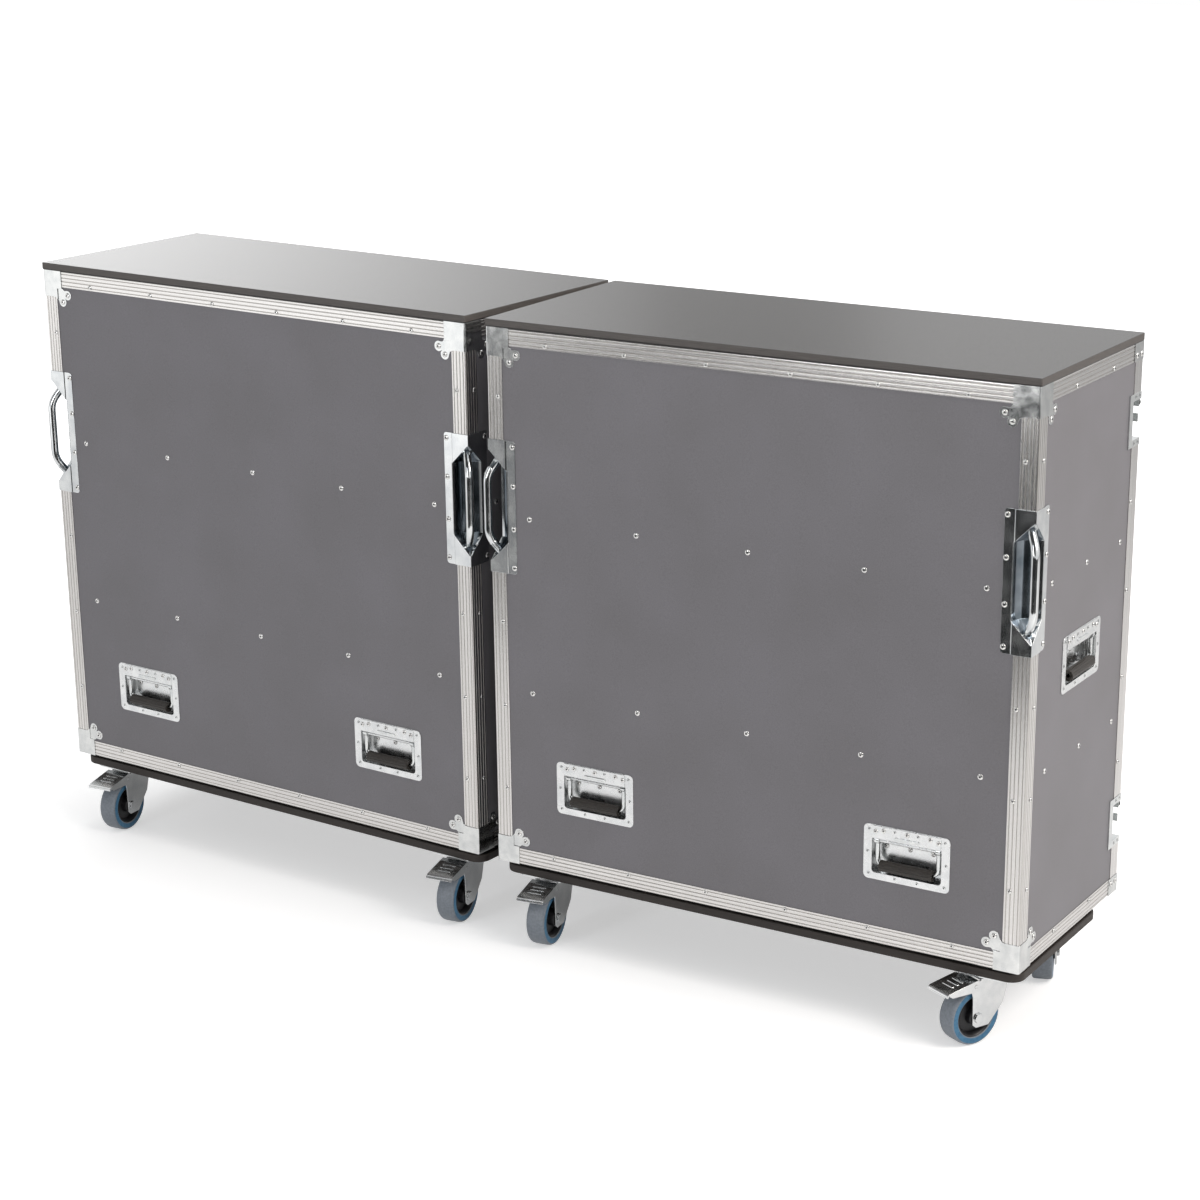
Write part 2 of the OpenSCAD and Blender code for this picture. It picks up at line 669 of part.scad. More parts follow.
// the brake shoe ends brake_gap above the wheel when the pedal is pressed
shoe_x = pedal_x + 12;
shoe_z = axle_z + sqrt(wheel_r * wheel_r - pow(shoe_x - trail, 2)) + brake_gap
       + (shoe_x - pedal_x) * sin(pedal_press);

module pedal(c) color([0.55, 0.56, 0.57])
    translate([swivel_x(c), hinge_y + swivel_y(c), 0]) rotate([0, 0, c[4]]) difference() {
        union() {
            for (s = [-1, 1]) upright(s > 0 ? leg_out + cheek_gap : -pedal_w / 2, cheek_t) pedal_cheek();
            upright(-pedal_w / 2, pedal_w) pedal_plate();
            box([shoe_x, shoe_x + shoe_t], [-shoe_half, shoe_half], [shoe_z, pedal_top - 4]);
        }
        across(pedal_x, pedal_z, pedal_pin_r + run_gap, drill);
    }

// corner handle: a bent sheet over both faces, a pressed recess around the edge and a bowed bar
module handle_sheet() polygon([
    [-sheet, -sheet], [step_at + sheet, -sheet], [step_at + sheet + wall, wall - sheet],
    [handle_w, wall - sheet], [handle_w, wall], [step_at + wall, wall], [step_at, 0], [0, 0],
    [0, step_at], [wall, step_at + wall], [wall, handle_w], [wall - sheet, handle_w],
    [wall - sheet, step_at + sheet + wall], [-sheet, step_at + sheet]]);

// outline of the sheet on one face, with its outer corners rounded
module handle_outline() {
    translate([-2 * sheet, -handle_h / 2]) square([2 * sheet + handle_w - handle_corner, handle_h]);
    translate([0, handle_corner - handle_h / 2]) square([handle_w, handle_h - 2 * handle_corner]);
    for (s = [-1, 1]) translate([handle_w - handle_corner, s * (handle_h / 2 - handle_corner)])
        circle(handle_corner);
}

bar_leg = (bar_bow + 26 - bar_bend * (1 - cos(bar_angle))) / sin(bar_angle);
module bar_side() {
    cylinder(d = bar_d, h = bar_half);
    translate([0, 0, bar_half]) rotate([90, 0, 0]) translate([-bar_bend, 0, 0])
        rotate_extrude(angle = bar_angle) translate([bar_bend, 0]) circle(d = bar_d);
    translate([bar_bend * (cos(bar_angle) - 1), 0, bar_half + bar_bend * sin(bar_angle)])
        rotate([0, -bar_angle, 0]) cylinder(d = bar_d, h = bar_leg);
}

module handle_bar() intersection() {
    rotate([0, 0, -135]) translate([bar_bow, 0, 0]) union() { bar_side(); mirror([0, 0, 1]) bar_side(); }
    recess(recess_r);
}

module corner_handle() {
    difference() {
        union() {
            intersection() {
                translate([0, 0, -handle_h / 2]) linear_extrude(handle_h) handle_sheet();
                union() {
                    upright(-2 * sheet, 2 * sheet + 2 * wall) handle_outline();
                    mirror([1, -1, 0]) upright(-2 * sheet, 2 * sheet + 2 * wall) handle_outline();
                }
            }
            intersection() {
                recess(recess_r + sheet);
                box([0, 60], [0, 60], [-handle_h, handle_h]);
            }
        }
        recess(recess_r);
    }
    handle_bar();
}

module corner_handles(side) color([0.76, 0.77, 0.79])
    on_side(side) both_sides() at_far_corner() corner_handle();

// spring handle dish: flange, tray, hinge strip and the rod that carries the bail
module spring_dish() {
    difference() {
        union() {
            upright(-flange_t, flange_t) rounded(dish_w, dish_h, flange_r);
            upright(0, dish_deep) translate([0, mouth_z])
                rounded(mouth_w + 2 * sheet, mouth_h + 2 * sheet, mouth_r);
            upright(-flange_t - strip_t, strip_t) translate([0, (strip_z + dish_h / 2 - 1) / 2])
                square([mouth_w - 2, dish_h / 2 - 1 - strip_z], center = true);
        }
        upright(-flange_t, flange_t + dish_deep - sheet) translate([0, mouth_z])
            rounded(mouth_w, mouth_h, mouth_r);
    }
    translate([-mouth_w / 2, pivot_y, pivot_z]) rotate([0, 90, 0]) cylinder(d = pivot_d, h = mouth_w);
}

module spring_dishes(side) color([0.78, 0.79, 0.8]) on_side(side) {
    for (x = [low_side, top_w - low_side]) at_front(x) spring_dish();
    at_side() spring_dish();
}

// bail: eyes on the pivot rod, two legs, rounded corners and a cross rod with a ribbed rubber grip
module bail() {
    leg_x = bail_w / 2;
    color([0.78, 0.79, 0.8]) translate([0, pivot_y, pivot_z]) difference() {
        union() {
            for (s = [-1, 1]) {
                translate([s * leg_x - bail_d / 2, 0, 0]) rotate([0, 90, 0]) cylinder(r = eye_r, h = bail_d);
                translate([s * leg_x, 0, -bail_drop + bail_r]) cylinder(d = bail_d, h = bail_drop - bail_r);
                translate([s * (leg_x - bail_r), 0, -bail_drop + bail_r]) rotate([90, 0, 0])
                    rotate([0, 0, s > 0 ? -90 : 180]) rotate_extrude(angle = 90)
                        translate([bail_r, 0]) circle(d = bail_d);
            }
            translate([-leg_x + bail_r, 0, -bail_drop]) rotate([0, 90, 0])
                cylinder(d = bail_d, h = bail_w - 2 * bail_r);
        }
        translate([-bail_w, 0, 0]) rotate([0, 90, 0]) cylinder(r = pivot_d / 2 + run_gap, h = 2 * bail_w);
    }
    color([0.15, 0.14, 0.14]) translate([-leg_x + bail_r, pivot_y, pivot_z - bail_drop]) rotate([0, 90, 0])
        linear_extrude(bail_w - 2 * bail_r) difference() {
            circle(d = grip_d);
            circle(d = bail_d + 2 * seam);
            for (i = [0:11]) rotate(i * 30) translate([grip_d / 2 + 0.3, 0]) circle(r = 1.1, $fn = 24);
        }
}

module bail_at(side, place) on_side(side) {
    turn = side == "left" ? 1 : 0;
    if (place == "bail_inner") at_front(low_side) mirror([turn, 0, 0]) bail();
    if (place == "bail_outer") at_front(top_w - low_side) mirror([turn, 0, 0]) bail();
    if (place == "bail_side") at_side() mirror([turn, 0, 0]) bail();
}

// latch dishes, open at the rim: the right half has the keeper and a buffer, the left one the spindle
module latch_dish(side) {
    w = side == "right" ? keeper_w : turn_w;
    reach = latch_in(side);
    difference() {
        union() {
            box([0, sheet], [-w, rim_y], [-latch_h / 2, latch_h / 2]);
            box([-wall, sheet], [-w, rim_front], [-latch_h / 2, latch_h / 2]);
            box([-latch_deep, sheet], [-reach - sheet, rim_y],
                [-latch_mouth / 2 - sheet, latch_mouth / 2 + sheet]);
        }
        box([-latch_deep + latch_seat, 10], [-reach, 1], [-latch_mouth / 2, latch_mouth / 2]);
    }
    if (side == "right") {
        box([-latch_deep + latch_seat - GLUE, -3], [-2.8, -0.8], [-keeper_half, keeper_half]);
        box([-latch_deep + latch_seat - GLUE, 0], [-8, -6.5], [buffer_z - buffer_r, latch_mouth / 2 + GLUE]);
        translate([-buffer_r + 0.5, -6.5, buffer_z]) rotate([-90, 0, 0]) difference() {
            cylinder(r = buffer_r, h = 6.5 - rim_gap);
            translate([0, 0, 4.5]) cylinder(r = 2.6, h = 5);
        }
    } else {
        translate([-latch_deep + latch_seat - GLUE, -spindle_in, 0]) rotate([0, 90, 0])
            cylinder(r = spindle_r, h = latch_deep - 3);
    }
}

module latch_dishes(side) color([0.78, 0.79, 0.8]) on_side(side)
    for (z = latch_z) at_latch(z) latch_dish(side);

// turn latch: a rotor with two wings over a hook that swings behind the keeper
module turn_latch() {
    bottom = -finger_x - finger_t;
    color([0.7, 0.71, 0.73]) translate([bottom, -spindle_in, 0]) rotate([0, 90, 0]) difference() {
        union() {
            cylinder(r = 9, h = finger_t + 3);
            linear_extrude(finger_t) {
                rotate(hook_rest) intersection() {
                    difference() {
                        circle(hook_r);
                        circle(hook_r - finger_w);
                    }
                    polygon([[0, 0], for (a = [-12, 15, 42]) 2 * hook_r * [cos(a), sin(a)]]);
                }
                rotate(hook_rest + 37) translate([wing_r / 2, -finger_t])
                    square([hook_r - finger_w / 2 - wing_r / 2, 2 * finger_t]);
            }
            translate([0, 0, finger_t + 2]) linear_extrude(2.5) for (s = [0, 180]) rotate(s + 90)
                intersection() {
                    circle(wing_r);
                    polygon([[0, 0], [20, -9], [20, 9]]);
                }
        }
        translate([0, 0, -1]) cylinder(r = spindle_r + run_gap, h = 20);
    }
}
hook_rest = 180;

module latch_at(i) on_side("left") at_latch(latch_z[i]) turn_latch();

// butt hinges on the inner sides: the right leaf has the end knuckles and the pin, the left one the middle
module leaf(side) {
    r = knuckle_d / 2;
    third = hinge_h / 3;
    lower = [-hinge_h / 2, -third / 2 - knuckle_gap];
    middle = [-third / 2 + knuckle_gap, third / 2 - knuckle_gap];
    upper = [third / 2 + knuckle_gap, hinge_h / 2];
    spans = side == "right" ? [lower, upper] : [middle];
    bore = knuckle_d / 2 - 2.5;
    difference() {
        union() {
            box([face_x0 - leaf_t, face_x0], [-leaf_w, rim_y - 1], [-hinge_h / 2, hinge_h / 2]);
            for (s = spans) {
                translate([-pin_off, 0, s[0]]) cylinder(r = r, h = s[1] - s[0]);
                box([-pin_off, face_x0 - leaf_t + 0.5], [-r, -r + leaf_t], s);
            }
        }
        translate([-pin_off, 0, -hinge_h]) cylinder(r = bore + run_gap, h = 2 * hinge_h);
        if (side == "right") translate([-pin_off, 0, -third / 2 - knuckle_gap])
            cylinder(r = r + 2 * knuckle_gap, h = third + 2 * knuckle_gap);
        if (side == "left") for (z = [-hinge_h / 2 - OVER, third / 2 - knuckle_gap])
            translate([-pin_off, 0, z]) cylinder(r = r + 2 * knuckle_gap, h = third + OVER + knuckle_gap);
    }
    if (side == "right") translate([-pin_off, 0, -hinge_h / 2]) cylinder(r = bore, h = hinge_h);
}

module hinges(side) color([0.7, 0.71, 0.72]) on_side(side) hinge_places() leaf(side);

for (side = ["right", "left"]) {
    top(side);
    panels(side);
    shelves(side);
    shelf_rails(side);
    edge_angles(side);
    rim_channels(side);
    corner_braces(side);
    rivets(side);
    castor_board(side);
    castor_plates(side);
    corner_handles(side);
    spring_dishes(side);
    latch_dishes(side);
    hinges(side);
    for (b = BAILS) bail_at(side, b);
}
for (i = [0, 1]) latch_at(i);
for (c = CASTORS) {
    fork(c);
    wheel(c);
    pedal(c);
}
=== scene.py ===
# %% [markdown]
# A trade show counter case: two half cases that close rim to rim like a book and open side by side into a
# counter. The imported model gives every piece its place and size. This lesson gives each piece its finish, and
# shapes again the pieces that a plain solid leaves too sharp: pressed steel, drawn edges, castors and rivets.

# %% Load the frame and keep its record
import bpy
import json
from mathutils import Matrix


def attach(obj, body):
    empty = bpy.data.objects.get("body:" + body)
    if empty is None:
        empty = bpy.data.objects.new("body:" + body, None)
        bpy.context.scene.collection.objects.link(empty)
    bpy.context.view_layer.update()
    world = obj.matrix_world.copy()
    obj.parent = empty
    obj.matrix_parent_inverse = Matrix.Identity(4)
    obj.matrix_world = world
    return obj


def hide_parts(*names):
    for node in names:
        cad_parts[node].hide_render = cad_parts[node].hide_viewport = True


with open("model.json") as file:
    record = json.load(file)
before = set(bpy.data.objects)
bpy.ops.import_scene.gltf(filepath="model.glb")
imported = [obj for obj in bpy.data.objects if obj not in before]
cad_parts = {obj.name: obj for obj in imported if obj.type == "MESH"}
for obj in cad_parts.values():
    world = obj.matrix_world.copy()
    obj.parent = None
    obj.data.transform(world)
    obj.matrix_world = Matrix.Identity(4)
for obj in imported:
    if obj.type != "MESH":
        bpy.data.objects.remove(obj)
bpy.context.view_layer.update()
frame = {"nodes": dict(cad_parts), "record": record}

import json
import math
import bmesh
import bpy
from mathutils import Matrix, Vector

nodes = frame["nodes"]
joints = {joint["name"]: joint for joint in frame["record"]["behaviour"]["joints"]}

# %% [markdown]
# The picture is a catalogue photo taken with a long lens from the front right, a little above the counter.
# The camera's place comes from points of the picture whose places on the case are known. The lens is shifted a
# little, as the photo is cropped off centre.

# %% Camera
scene = bpy.context.scene
scene.view_settings.view_transform = "Standard"
FRAME_PX, FOCAL_PX = 1200, 2776.9
yaw, pitch, roll = math.radians(32.78), math.radians(18.40), math.radians(0.34)
ahead = Vector((-math.sin(yaw) * math.cos(pitch), math.cos(yaw) * math.cos(pitch), -math.sin(pitch)))
level = Vector((math.cos(yaw), math.sin(yaw), 0))
upright = level.cross(ahead)
right = level * math.cos(roll) - upright * math.sin(roll)
up = right.cross(ahead)
camera = bpy.data.objects.new("camera", bpy.data.cameras.new("camera"))
scene.collection.objects.link(camera)
camera.matrix_world = Matrix.Translation((2.7270, -3.9057, 1.9685)) @ Matrix((
    (right.x, up.x, -ahead.x, 0), (right.y, up.y, -ahead.y, 0), (right.z, up.z, -ahead.z, 0), (0, 0, 0, 1)))
camera.data.lens = camera.data.sensor_width * FOCAL_PX / FRAME_PX
camera.data.shift_x = -50 / FRAME_PX
camera.data.shift_y = 100 / FRAME_PX
camera.data.clip_end = 60
scene.camera = camera
print("camera looks", [round(x, 3) for x in ahead])

# %% [markdown]
# A half case is drawn in its own frame, in millimetres: x runs out from the hinge side, y is 0 at the plane
# where the halves meet and negative towards the front, z is up. The right half turns a little about the hinge
# pin, and the left half is its mirror image. One matrix for each half takes a piece from there to the room.

# %% Sizes of the case and the way from a half's frame to the room
MM = 0.001
HINGE_Y, PIN_OFF, HALF_GAPE = 212.125, 6.5, math.radians(1.86)
WIDTH, TOP_FRONT, TOP_BACK = 1000.0, -417.0, -1.0
X0, X1, FRONT, RIM = 2.0, 998.0, -415.0, -0.5
BASE_Z, BODY_Z, TOP_Z, TOTAL = 126.0, 150.0, 1103.0, 1116.0
WALL, SHEET = 1.5, 1.2

RIGHT = (Matrix.Scale(MM, 4) @ Matrix.Translation((0, HINGE_Y, 0)) @ Matrix.Rotation(HALF_GAPE, 4, "Z")
         @ Matrix.Translation((PIN_OFF, 0, 0)))
LEFT = Matrix.Scale(-1, 4, (1, 0, 0)) @ RIGHT
HALVES = {"right": RIGHT, "left": LEFT}
LEAN = {"right": HALF_GAPE, "left": -HALF_GAPE}

def facing(x, y, z, out):
    """Where a flat detail sits: its own z axis points along out, and its own y axis points up."""
    out = Vector(out).normalized()
    side = Vector((0, 0, 1)).cross(out)
    side = side.normalized() if side.length > 1e-6 else Vector((1, 0, 0))
    tall = out.cross(side)
    return Matrix(((side.x, tall.x, out.x, x), (side.y, tall.y, out.y, y), (side.z, tall.z, out.z, z),
                   (0, 0, 0, 1)))

print("the fronts gape by", round(2 * math.degrees(HALF_GAPE), 2), "degrees")

# %% [markdown]
# Modelling is done with Blender's own edit tools. They act on all that is selected, so each helper first lets
# go of everything and then holds one piece. pick() selects corners, edges or faces by a rule on their place.

# %% Modelling helpers
def hold(piece):
    """Only this piece is selected."""
    bpy.ops.object.select_all(action="DESELECT")
    piece.select_set(True)
    bpy.context.view_layer.objects.active = piece

def edit(piece):
    hold(piece)
    bpy.ops.object.mode_set(mode="EDIT")

def done():
    bpy.ops.object.mode_set(mode="OBJECT")
    return bpy.context.object

def pick(kind, rule):
    """In edit mode, select the verts, edges or faces that the rule names, and say how many there are."""
    bpy.ops.mesh.select_mode(type={"verts": "VERT", "edges": "EDGE", "faces": "FACE"}[kind])
    bpy.ops.mesh.select_all(action="DESELECT")
    mesh = bmesh.from_edit_mesh(bpy.context.object.data)
    picked = [element for element in getattr(mesh, kind) if rule(element)]
    for element in picked:
        element.select_set(True)
    mesh.select_flush_mode()
    bmesh.update_edit_mesh(bpy.context.object.data)
    return len(picked)

def middle(edge):
    return (edge.verts[0].co + edge.verts[1].co) / 2

def along(edge, axis):
    """True for an edge that runs along the axis 0, 1 or 2."""
    run = edge.verts[1].co - edge.verts[0].co
    return abs(run[axis]) > 0.99 * run.length

def outward(piece):
    """Close doubled corners and turn all faces outwards."""
    edit(piece)
    bpy.ops.mesh.select_all(action="SELECT")
    bpy.ops.mesh.remove_doubles(threshold=1e-6)
    bpy.ops.mesh.normals_make_consistent(inside=False)
    done()

def shaded(piece, angle=40):
    """Smooth shading over the rounds, while the large faces stay flat."""
    hold(piece)
    bpy.ops.object.shade_smooth_by_angle(angle=math.radians(angle))
    flats = piece.modifiers.new("flat_faces", "WEIGHTED_NORMAL")
    flats.keep_sharp = True
    bpy.ops.object.modifier_apply(modifier="flat_faces")
    return piece

def softened(piece, width, corner=30, steps=2):
    """Round all edges sharper than corner degrees by width millimetres, and shade the faces between them flat."""
    hold(piece)
    rounding = piece.modifiers.new("rounding", "BEVEL")
    rounding.width = width * MM
    rounding.segments = steps
    rounding.limit_method = "ANGLE"
    rounding.angle_limit = math.radians(corner)
    rounding.use_clamp_overlap = False
    bpy.ops.object.modifier_apply(modifier="rounding")
    return shaded(piece)

def block(name, x, y, z):
    """A box from its spans in x, y and z, with its place in its mesh."""
    spans = (x, y, z)
    bpy.ops.object.select_all(action="DESELECT")
    bpy.ops.mesh.primitive_cube_add(size=1)
    piece = bpy.context.object
    piece.name = name
    edit(piece)
    bpy.ops.mesh.select_all(action="SELECT")
    bpy.ops.transform.resize(value=[b - a for a, b in spans])
    bpy.ops.transform.translate(value=[(a + b) / 2 for a, b in spans])
    return done()

def turned_solid(name, rings, count=16):
    """A turned piece about z, drawn up from a disc ring by ring. rings holds (radius, height)."""
    bpy.ops.object.select_all(action="DESELECT")
    radius, height = rings[0]
    bpy.ops.mesh.primitive_circle_add(vertices=count, radius=radius, fill_type="NGON", location=(0, 0, 0))
    piece = bpy.context.object
    piece.name = name
    edit(piece)
    bpy.ops.mesh.select_all(action="SELECT")
    bpy.ops.transform.translate(value=(0, 0, height))
    for wide, high in rings[1:]:
        bpy.ops.mesh.extrude_region_move(TRANSFORM_OT_translate={"value": (0, 0, high - height)})
        bpy.ops.transform.resize(value=(wide / radius, wide / radius, 1), center_override=(0, 0, high))
        radius, height = wide, high
    done()
    outward(piece)
    return piece

def turned_ring(name, rings, count=64):
    """A closed ring about z through the points (radius, height) of its section."""
    bpy.ops.object.select_all(action="DESELECT")
    radius, height = rings[0]
    bpy.ops.mesh.primitive_circle_add(vertices=count, radius=radius, location=(0, 0, 0))
    piece = bpy.context.object
    piece.name = name
    edit(piece)
    bpy.ops.mesh.select_all(action="SELECT")
    bpy.ops.transform.translate(value=(0, 0, height))
    for wide, high in rings[1:] + rings[:1]:
        bpy.ops.mesh.extrude_edges_move(TRANSFORM_OT_translate={"value": (0, 0, high - height)})
        bpy.ops.transform.resize(value=(wide / radius, wide / radius, 1), center_override=(0, 0, high))
        radius, height = wide, high
    bpy.ops.mesh.select_all(action="SELECT")
    bpy.ops.mesh.remove_doubles(threshold=1e-3)
    bpy.ops.mesh.normals_make_consistent(inside=False)
    return done()

def joined(pieces, name):
    """Several pieces become one."""
    hold(pieces[0])
    for piece in pieces:
        piece.select_set(True)
    if len(pieces) > 1:
        bpy.ops.object.join()
    pieces[0].name = name
    return pieces[0]

def repeated(model, places, name):
    """Copies of a modelled piece at the places, each with its own mesh, joined under one name."""
    made = []
    for place in places:
        part = bpy.data.objects.new(name, model.data.copy())
        part.data.transform(place)
        if place.determinant() < 0:
            part.data.flip_normals()
        scene.collection.objects.link(part)
        made.append(part)
    return joined(made, name)

def painted(piece, finish, rule=None):
    """Give the piece a finish, or add one for the faces that the rule names."""
    if finish.name not in piece.data.materials:
        piece.data.materials.append(finish)
    index = piece.data.materials.find(finish.name)
    for face in piece.data.polygons:
        if rule is None or rule(face):
            face.material_index = index
    return piece

def settled(piece, body, slot, *replaced):
    """The finished piece moves with its body and stands for these nodes; slot is not used."""
    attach(piece, body)
    if replaced:
        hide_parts(*replaced)
    return piece

def copy_of(node):
    """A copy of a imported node, its loose triangles merged into whole faces."""
    piece = bpy.data.objects.new(node + "_finished", nodes[node].data.copy())
    piece.data.materials.clear()
    scene.collection.objects.link(piece)
    edit(piece)
    bpy.ops.mesh.select_all(action="SELECT")
    bpy.ops.mesh.remove_doubles(threshold=2e-6)
    bpy.ops.mesh.dissolve_limited(angle_limit=math.radians(0.4))
    return done()

def islands(piece):
    """The separate bodies of a piece, each as its own object."""
    edit(piece)
    bpy.ops.mesh.separate(type="LOOSE")
    done()
    return list(bpy.context.selected_objects)

def size_of(piece):
    spans = [[vert.co[axis] for vert in piece.data.vertices] for axis in range(3)]
    return [max(span) - min(span) for span in spans]

print("helpers ready")

# %% [markdown]
# Materials. Each colour is written as its sRGB hex value, as a paint chart would give it, and turned to linear
# light by tint(). add() makes one shader node with its settings and links. Most surfaces of the case have one
# fine pattern that shows in three ways at once: a high grain is a little lighter or darker, a little more or less
# glossy, and stands out. grained() builds such a finish. Patterns read Object coordinates, so their sizes are
# real: a Mapping node of the texture type holds the size of one grain or line in metres.

# %% Helpers for materials
def tint(code):
    parts = [int(code[i:i + 2], 16) / 255 for i in (1, 3, 5)]
    return tuple(p / 12.92 if p <= 0.04045 else ((p + 0.055) / 1.055) ** 2.4 for p in parts) + (1.0,)

def add(tree, kind, inputs=None, stops=(), **settings):
    """One shader node: its settings, the stops of a colour ramp, and its inputs as values or as links."""
    made = tree.nodes.new(kind)
    for key, value in settings.items():
        setattr(made, key, value)
    for index, (at, colour) in enumerate(stops):
        if index == len(made.color_ramp.elements):
            made.color_ramp.elements.new(at)
        made.color_ramp.elements[index].position = at
        made.color_ramp.elements[index].color = tint(colour) if isinstance(colour, str) else (colour,) * 3 + (1,)
    for key, value in (inputs or {}).items():
        if isinstance(value, bpy.types.NodeSocket):
            tree.links.new(value, made.inputs[key])
        else:
            made.inputs[key].default_value = value
    return made

def new_finish(name, **sockets):
    """A new material with its main shader; values that are the same all over are set on its sockets."""
    finish = bpy.data.materials.new(name)
    finish.use_nodes = True
    shader = finish.node_tree.nodes["Principled BSDF"]
    for key, value in sockets.items():
        shader.inputs[key.replace("_", " ")].default_value = value
    place = add(finish.node_tree, "ShaderNodeTexCoord").outputs["Object"]
    return finish, finish.node_tree, shader, place

def grained(name, size, colours, gloss=None, relief=None, turn=0.0, detail=2.0, **sockets):
    """A finish whose one pattern moves colour, gloss and relief.

    size is that of a grain in metres, one number or one for each axis. colours holds the stops of the colour, gloss
    the roughness of low and high grains, relief how strongly the bump shows and its depth in metres.
    """
    finish, tree, shader, place = new_finish(name, **sockets)
    sizes = (size, size, size) if isinstance(size, float) else size
    spread = add(tree, "ShaderNodeMapping", {"Vector": place, "Rotation": (0, 0, turn), "Scale": sizes},
                 vector_type="TEXTURE")
    grain = add(tree, "ShaderNodeTexNoise", {"Vector": spread.outputs["Vector"], "Scale": 1.0, "Detail": detail})
    grain = grain.outputs["Fac"]
    colour = add(tree, "ShaderNodeValToRGB", {"Fac": grain}, colours)
    tree.links.new(colour.outputs["Color"], shader.inputs["Base Color"])
    if gloss:
        rough = add(tree, "ShaderNodeMapRange", {"Value": grain, "From Min": 0.3, "From Max": 0.7,
                                                 "To Min": gloss[0], "To Max": gloss[1]})
        tree.links.new(rough.outputs["Result"], shader.inputs["Roughness"])
    if relief:
        bump = add(tree, "ShaderNodeBump", {"Height": grain, "Strength": relief[0], "Distance": relief[1]})
        tree.links.new(bump.outputs["Normal"], shader.inputs["Normal"])
    return finish, tree, shader, place, grain

print("helpers for materials ready")

# %% [markdown]
# Grey phenolic laminate on birch plywood. It is pressed against a fine textured plate, which leaves grains of
# about a millimetre and a satin sheen that spreads highlights. Its colour drifts a little over a hand's width.
# The grains are drawn at 1.6 mm, a little coarser than real, so that they show.

# %% Grey laminate
LAMINATE_GRAIN, LAMINATE_DRIFT, LAMINATE_RELIEF = 0.0016, 0.16, (0.12, 0.0003)

laminate, tree, shader, place, grain = grained(
    "grey_phenolic_laminate", LAMINATE_GRAIN, ((0.25, 0.86), (0.5, 1.0), (0.75, 1.1)), (0.42, 0.56),
    LAMINATE_RELIEF, detail=3.0, Specular_IOR_Level=0.35)
specks = shader.inputs["Base Color"].links[0].from_socket
drift = add(tree, "ShaderNodeTexNoise", {"Vector": place, "Scale": 1 / LAMINATE_DRIFT, "Detail": 2.0})
base = add(tree, "ShaderNodeValToRGB", {"Fac": drift.outputs["Fac"]}, ((0.3, "#757376"), (0.7, "#7a787c")))
mixed = add(tree, "ShaderNodeMix", {"Factor": 1.0, "A": base.outputs["Color"], "B": specks}, data_type="RGBA",
            blend_type="MULTIPLY")
tree.links.new(mixed.outputs["Result"], shader.inputs["Base Color"])
print("made", laminate.name)

# %% [markdown]
# Birch plywood edge. Where a shelf was sawn, its layers show as thin pale and darker lines. The shelf keeps its
# laminate on its flat faces: the material tells them apart by the direction that a face looks in.

# %% Shelf board: laminate with sawn birch edges
PLY, FIBRE = 0.0028, (0.02, 0.02, 0.0008)

shelf_board, tree, shader, place, grain = grained(
    "laminated_birch_ply", LAMINATE_GRAIN, ((0.3, "#716f72"), (0.7, "#7d7b7f")), None, LAMINATE_RELIEF, detail=3.0,
    Roughness=0.55, Specular_IOR_Level=0.35)
face_colour = shader.inputs["Base Color"].links[0].from_socket
height = add(tree, "ShaderNodeSeparateXYZ", {"Vector": place}).outputs["Z"]
layer = add(tree, "ShaderNodeMath", {0: height, 1: PLY}, operation="PINGPONG").outputs["Value"]
layer = add(tree, "ShaderNodeMapRange", {"Value": layer, "From Max": PLY}).outputs["Result"]
layer = add(tree, "ShaderNodeValToRGB", {"Fac": layer}, ((0.45, 0.0), (0.6, 1.0))).outputs["Color"]
drawn = add(tree, "ShaderNodeMapping", {"Vector": place, "Scale": FIBRE}, vector_type="TEXTURE").outputs["Vector"]
fibre = add(tree, "ShaderNodeTexNoise", {"Vector": drawn, "Scale": 1.0, "Detail": 2.0}).outputs["Fac"]
pale = add(tree, "ShaderNodeValToRGB", {"Fac": fibre}, ((0.3, "#c9a877"), (0.7, "#dcc193"))).outputs["Color"]
dark = add(tree, "ShaderNodeValToRGB", {"Fac": fibre}, ((0.3, "#8a683f"), (0.7, "#a17c4e"))).outputs["Color"]
wood = add(tree, "ShaderNodeMix", {"Factor": layer, "A": pale, "B": dark}, data_type="RGBA").outputs["Result"]
look = add(tree, "ShaderNodeSeparateXYZ", {"Vector": add(tree, "ShaderNodeTexCoord").outputs["Normal"]})
flat = add(tree, "ShaderNodeMath", {0: look.outputs["Z"]}, operation="ABSOLUTE").outputs["Value"]
flat = add(tree, "ShaderNodeMath", {0: flat, 1: 0.5}, operation="GREATER_THAN").outputs["Value"]
whole = add(tree, "ShaderNodeMix", {"Factor": flat, "A": wood, "B": face_colour}, data_type="RGBA")
tree.links.new(whole.outputs["Result"], shader.inputs["Base Color"])
print("made", shelf_board.name)

# %% [markdown]
# Black counter laminate, a high-pressure laminate with a fine crystal texture: almost black from above, and a
# soft mirror of the studio at a flat angle. Its edge band is the same colour, more matt and a little browner,
# with scuffs that run along it.

# %% Black counter laminate and its edge band
counter = grained("black_counter_laminate", 0.0012, ((0.3, "#242221"), (0.7, "#302d2c")), (0.26, 0.34),
                  (0.08, 0.0002))[0]
edge_band = grained("black_edge_band", (0.03, 0.03, 0.0015), ((0.3, "#4b4744"), (0.7, "#5a5552")), (0.42, 0.55),
                    (0.1, 0.0002), Specular_IOR_Level=0.4)[0]
print("made", counter.name, edge_band.name)
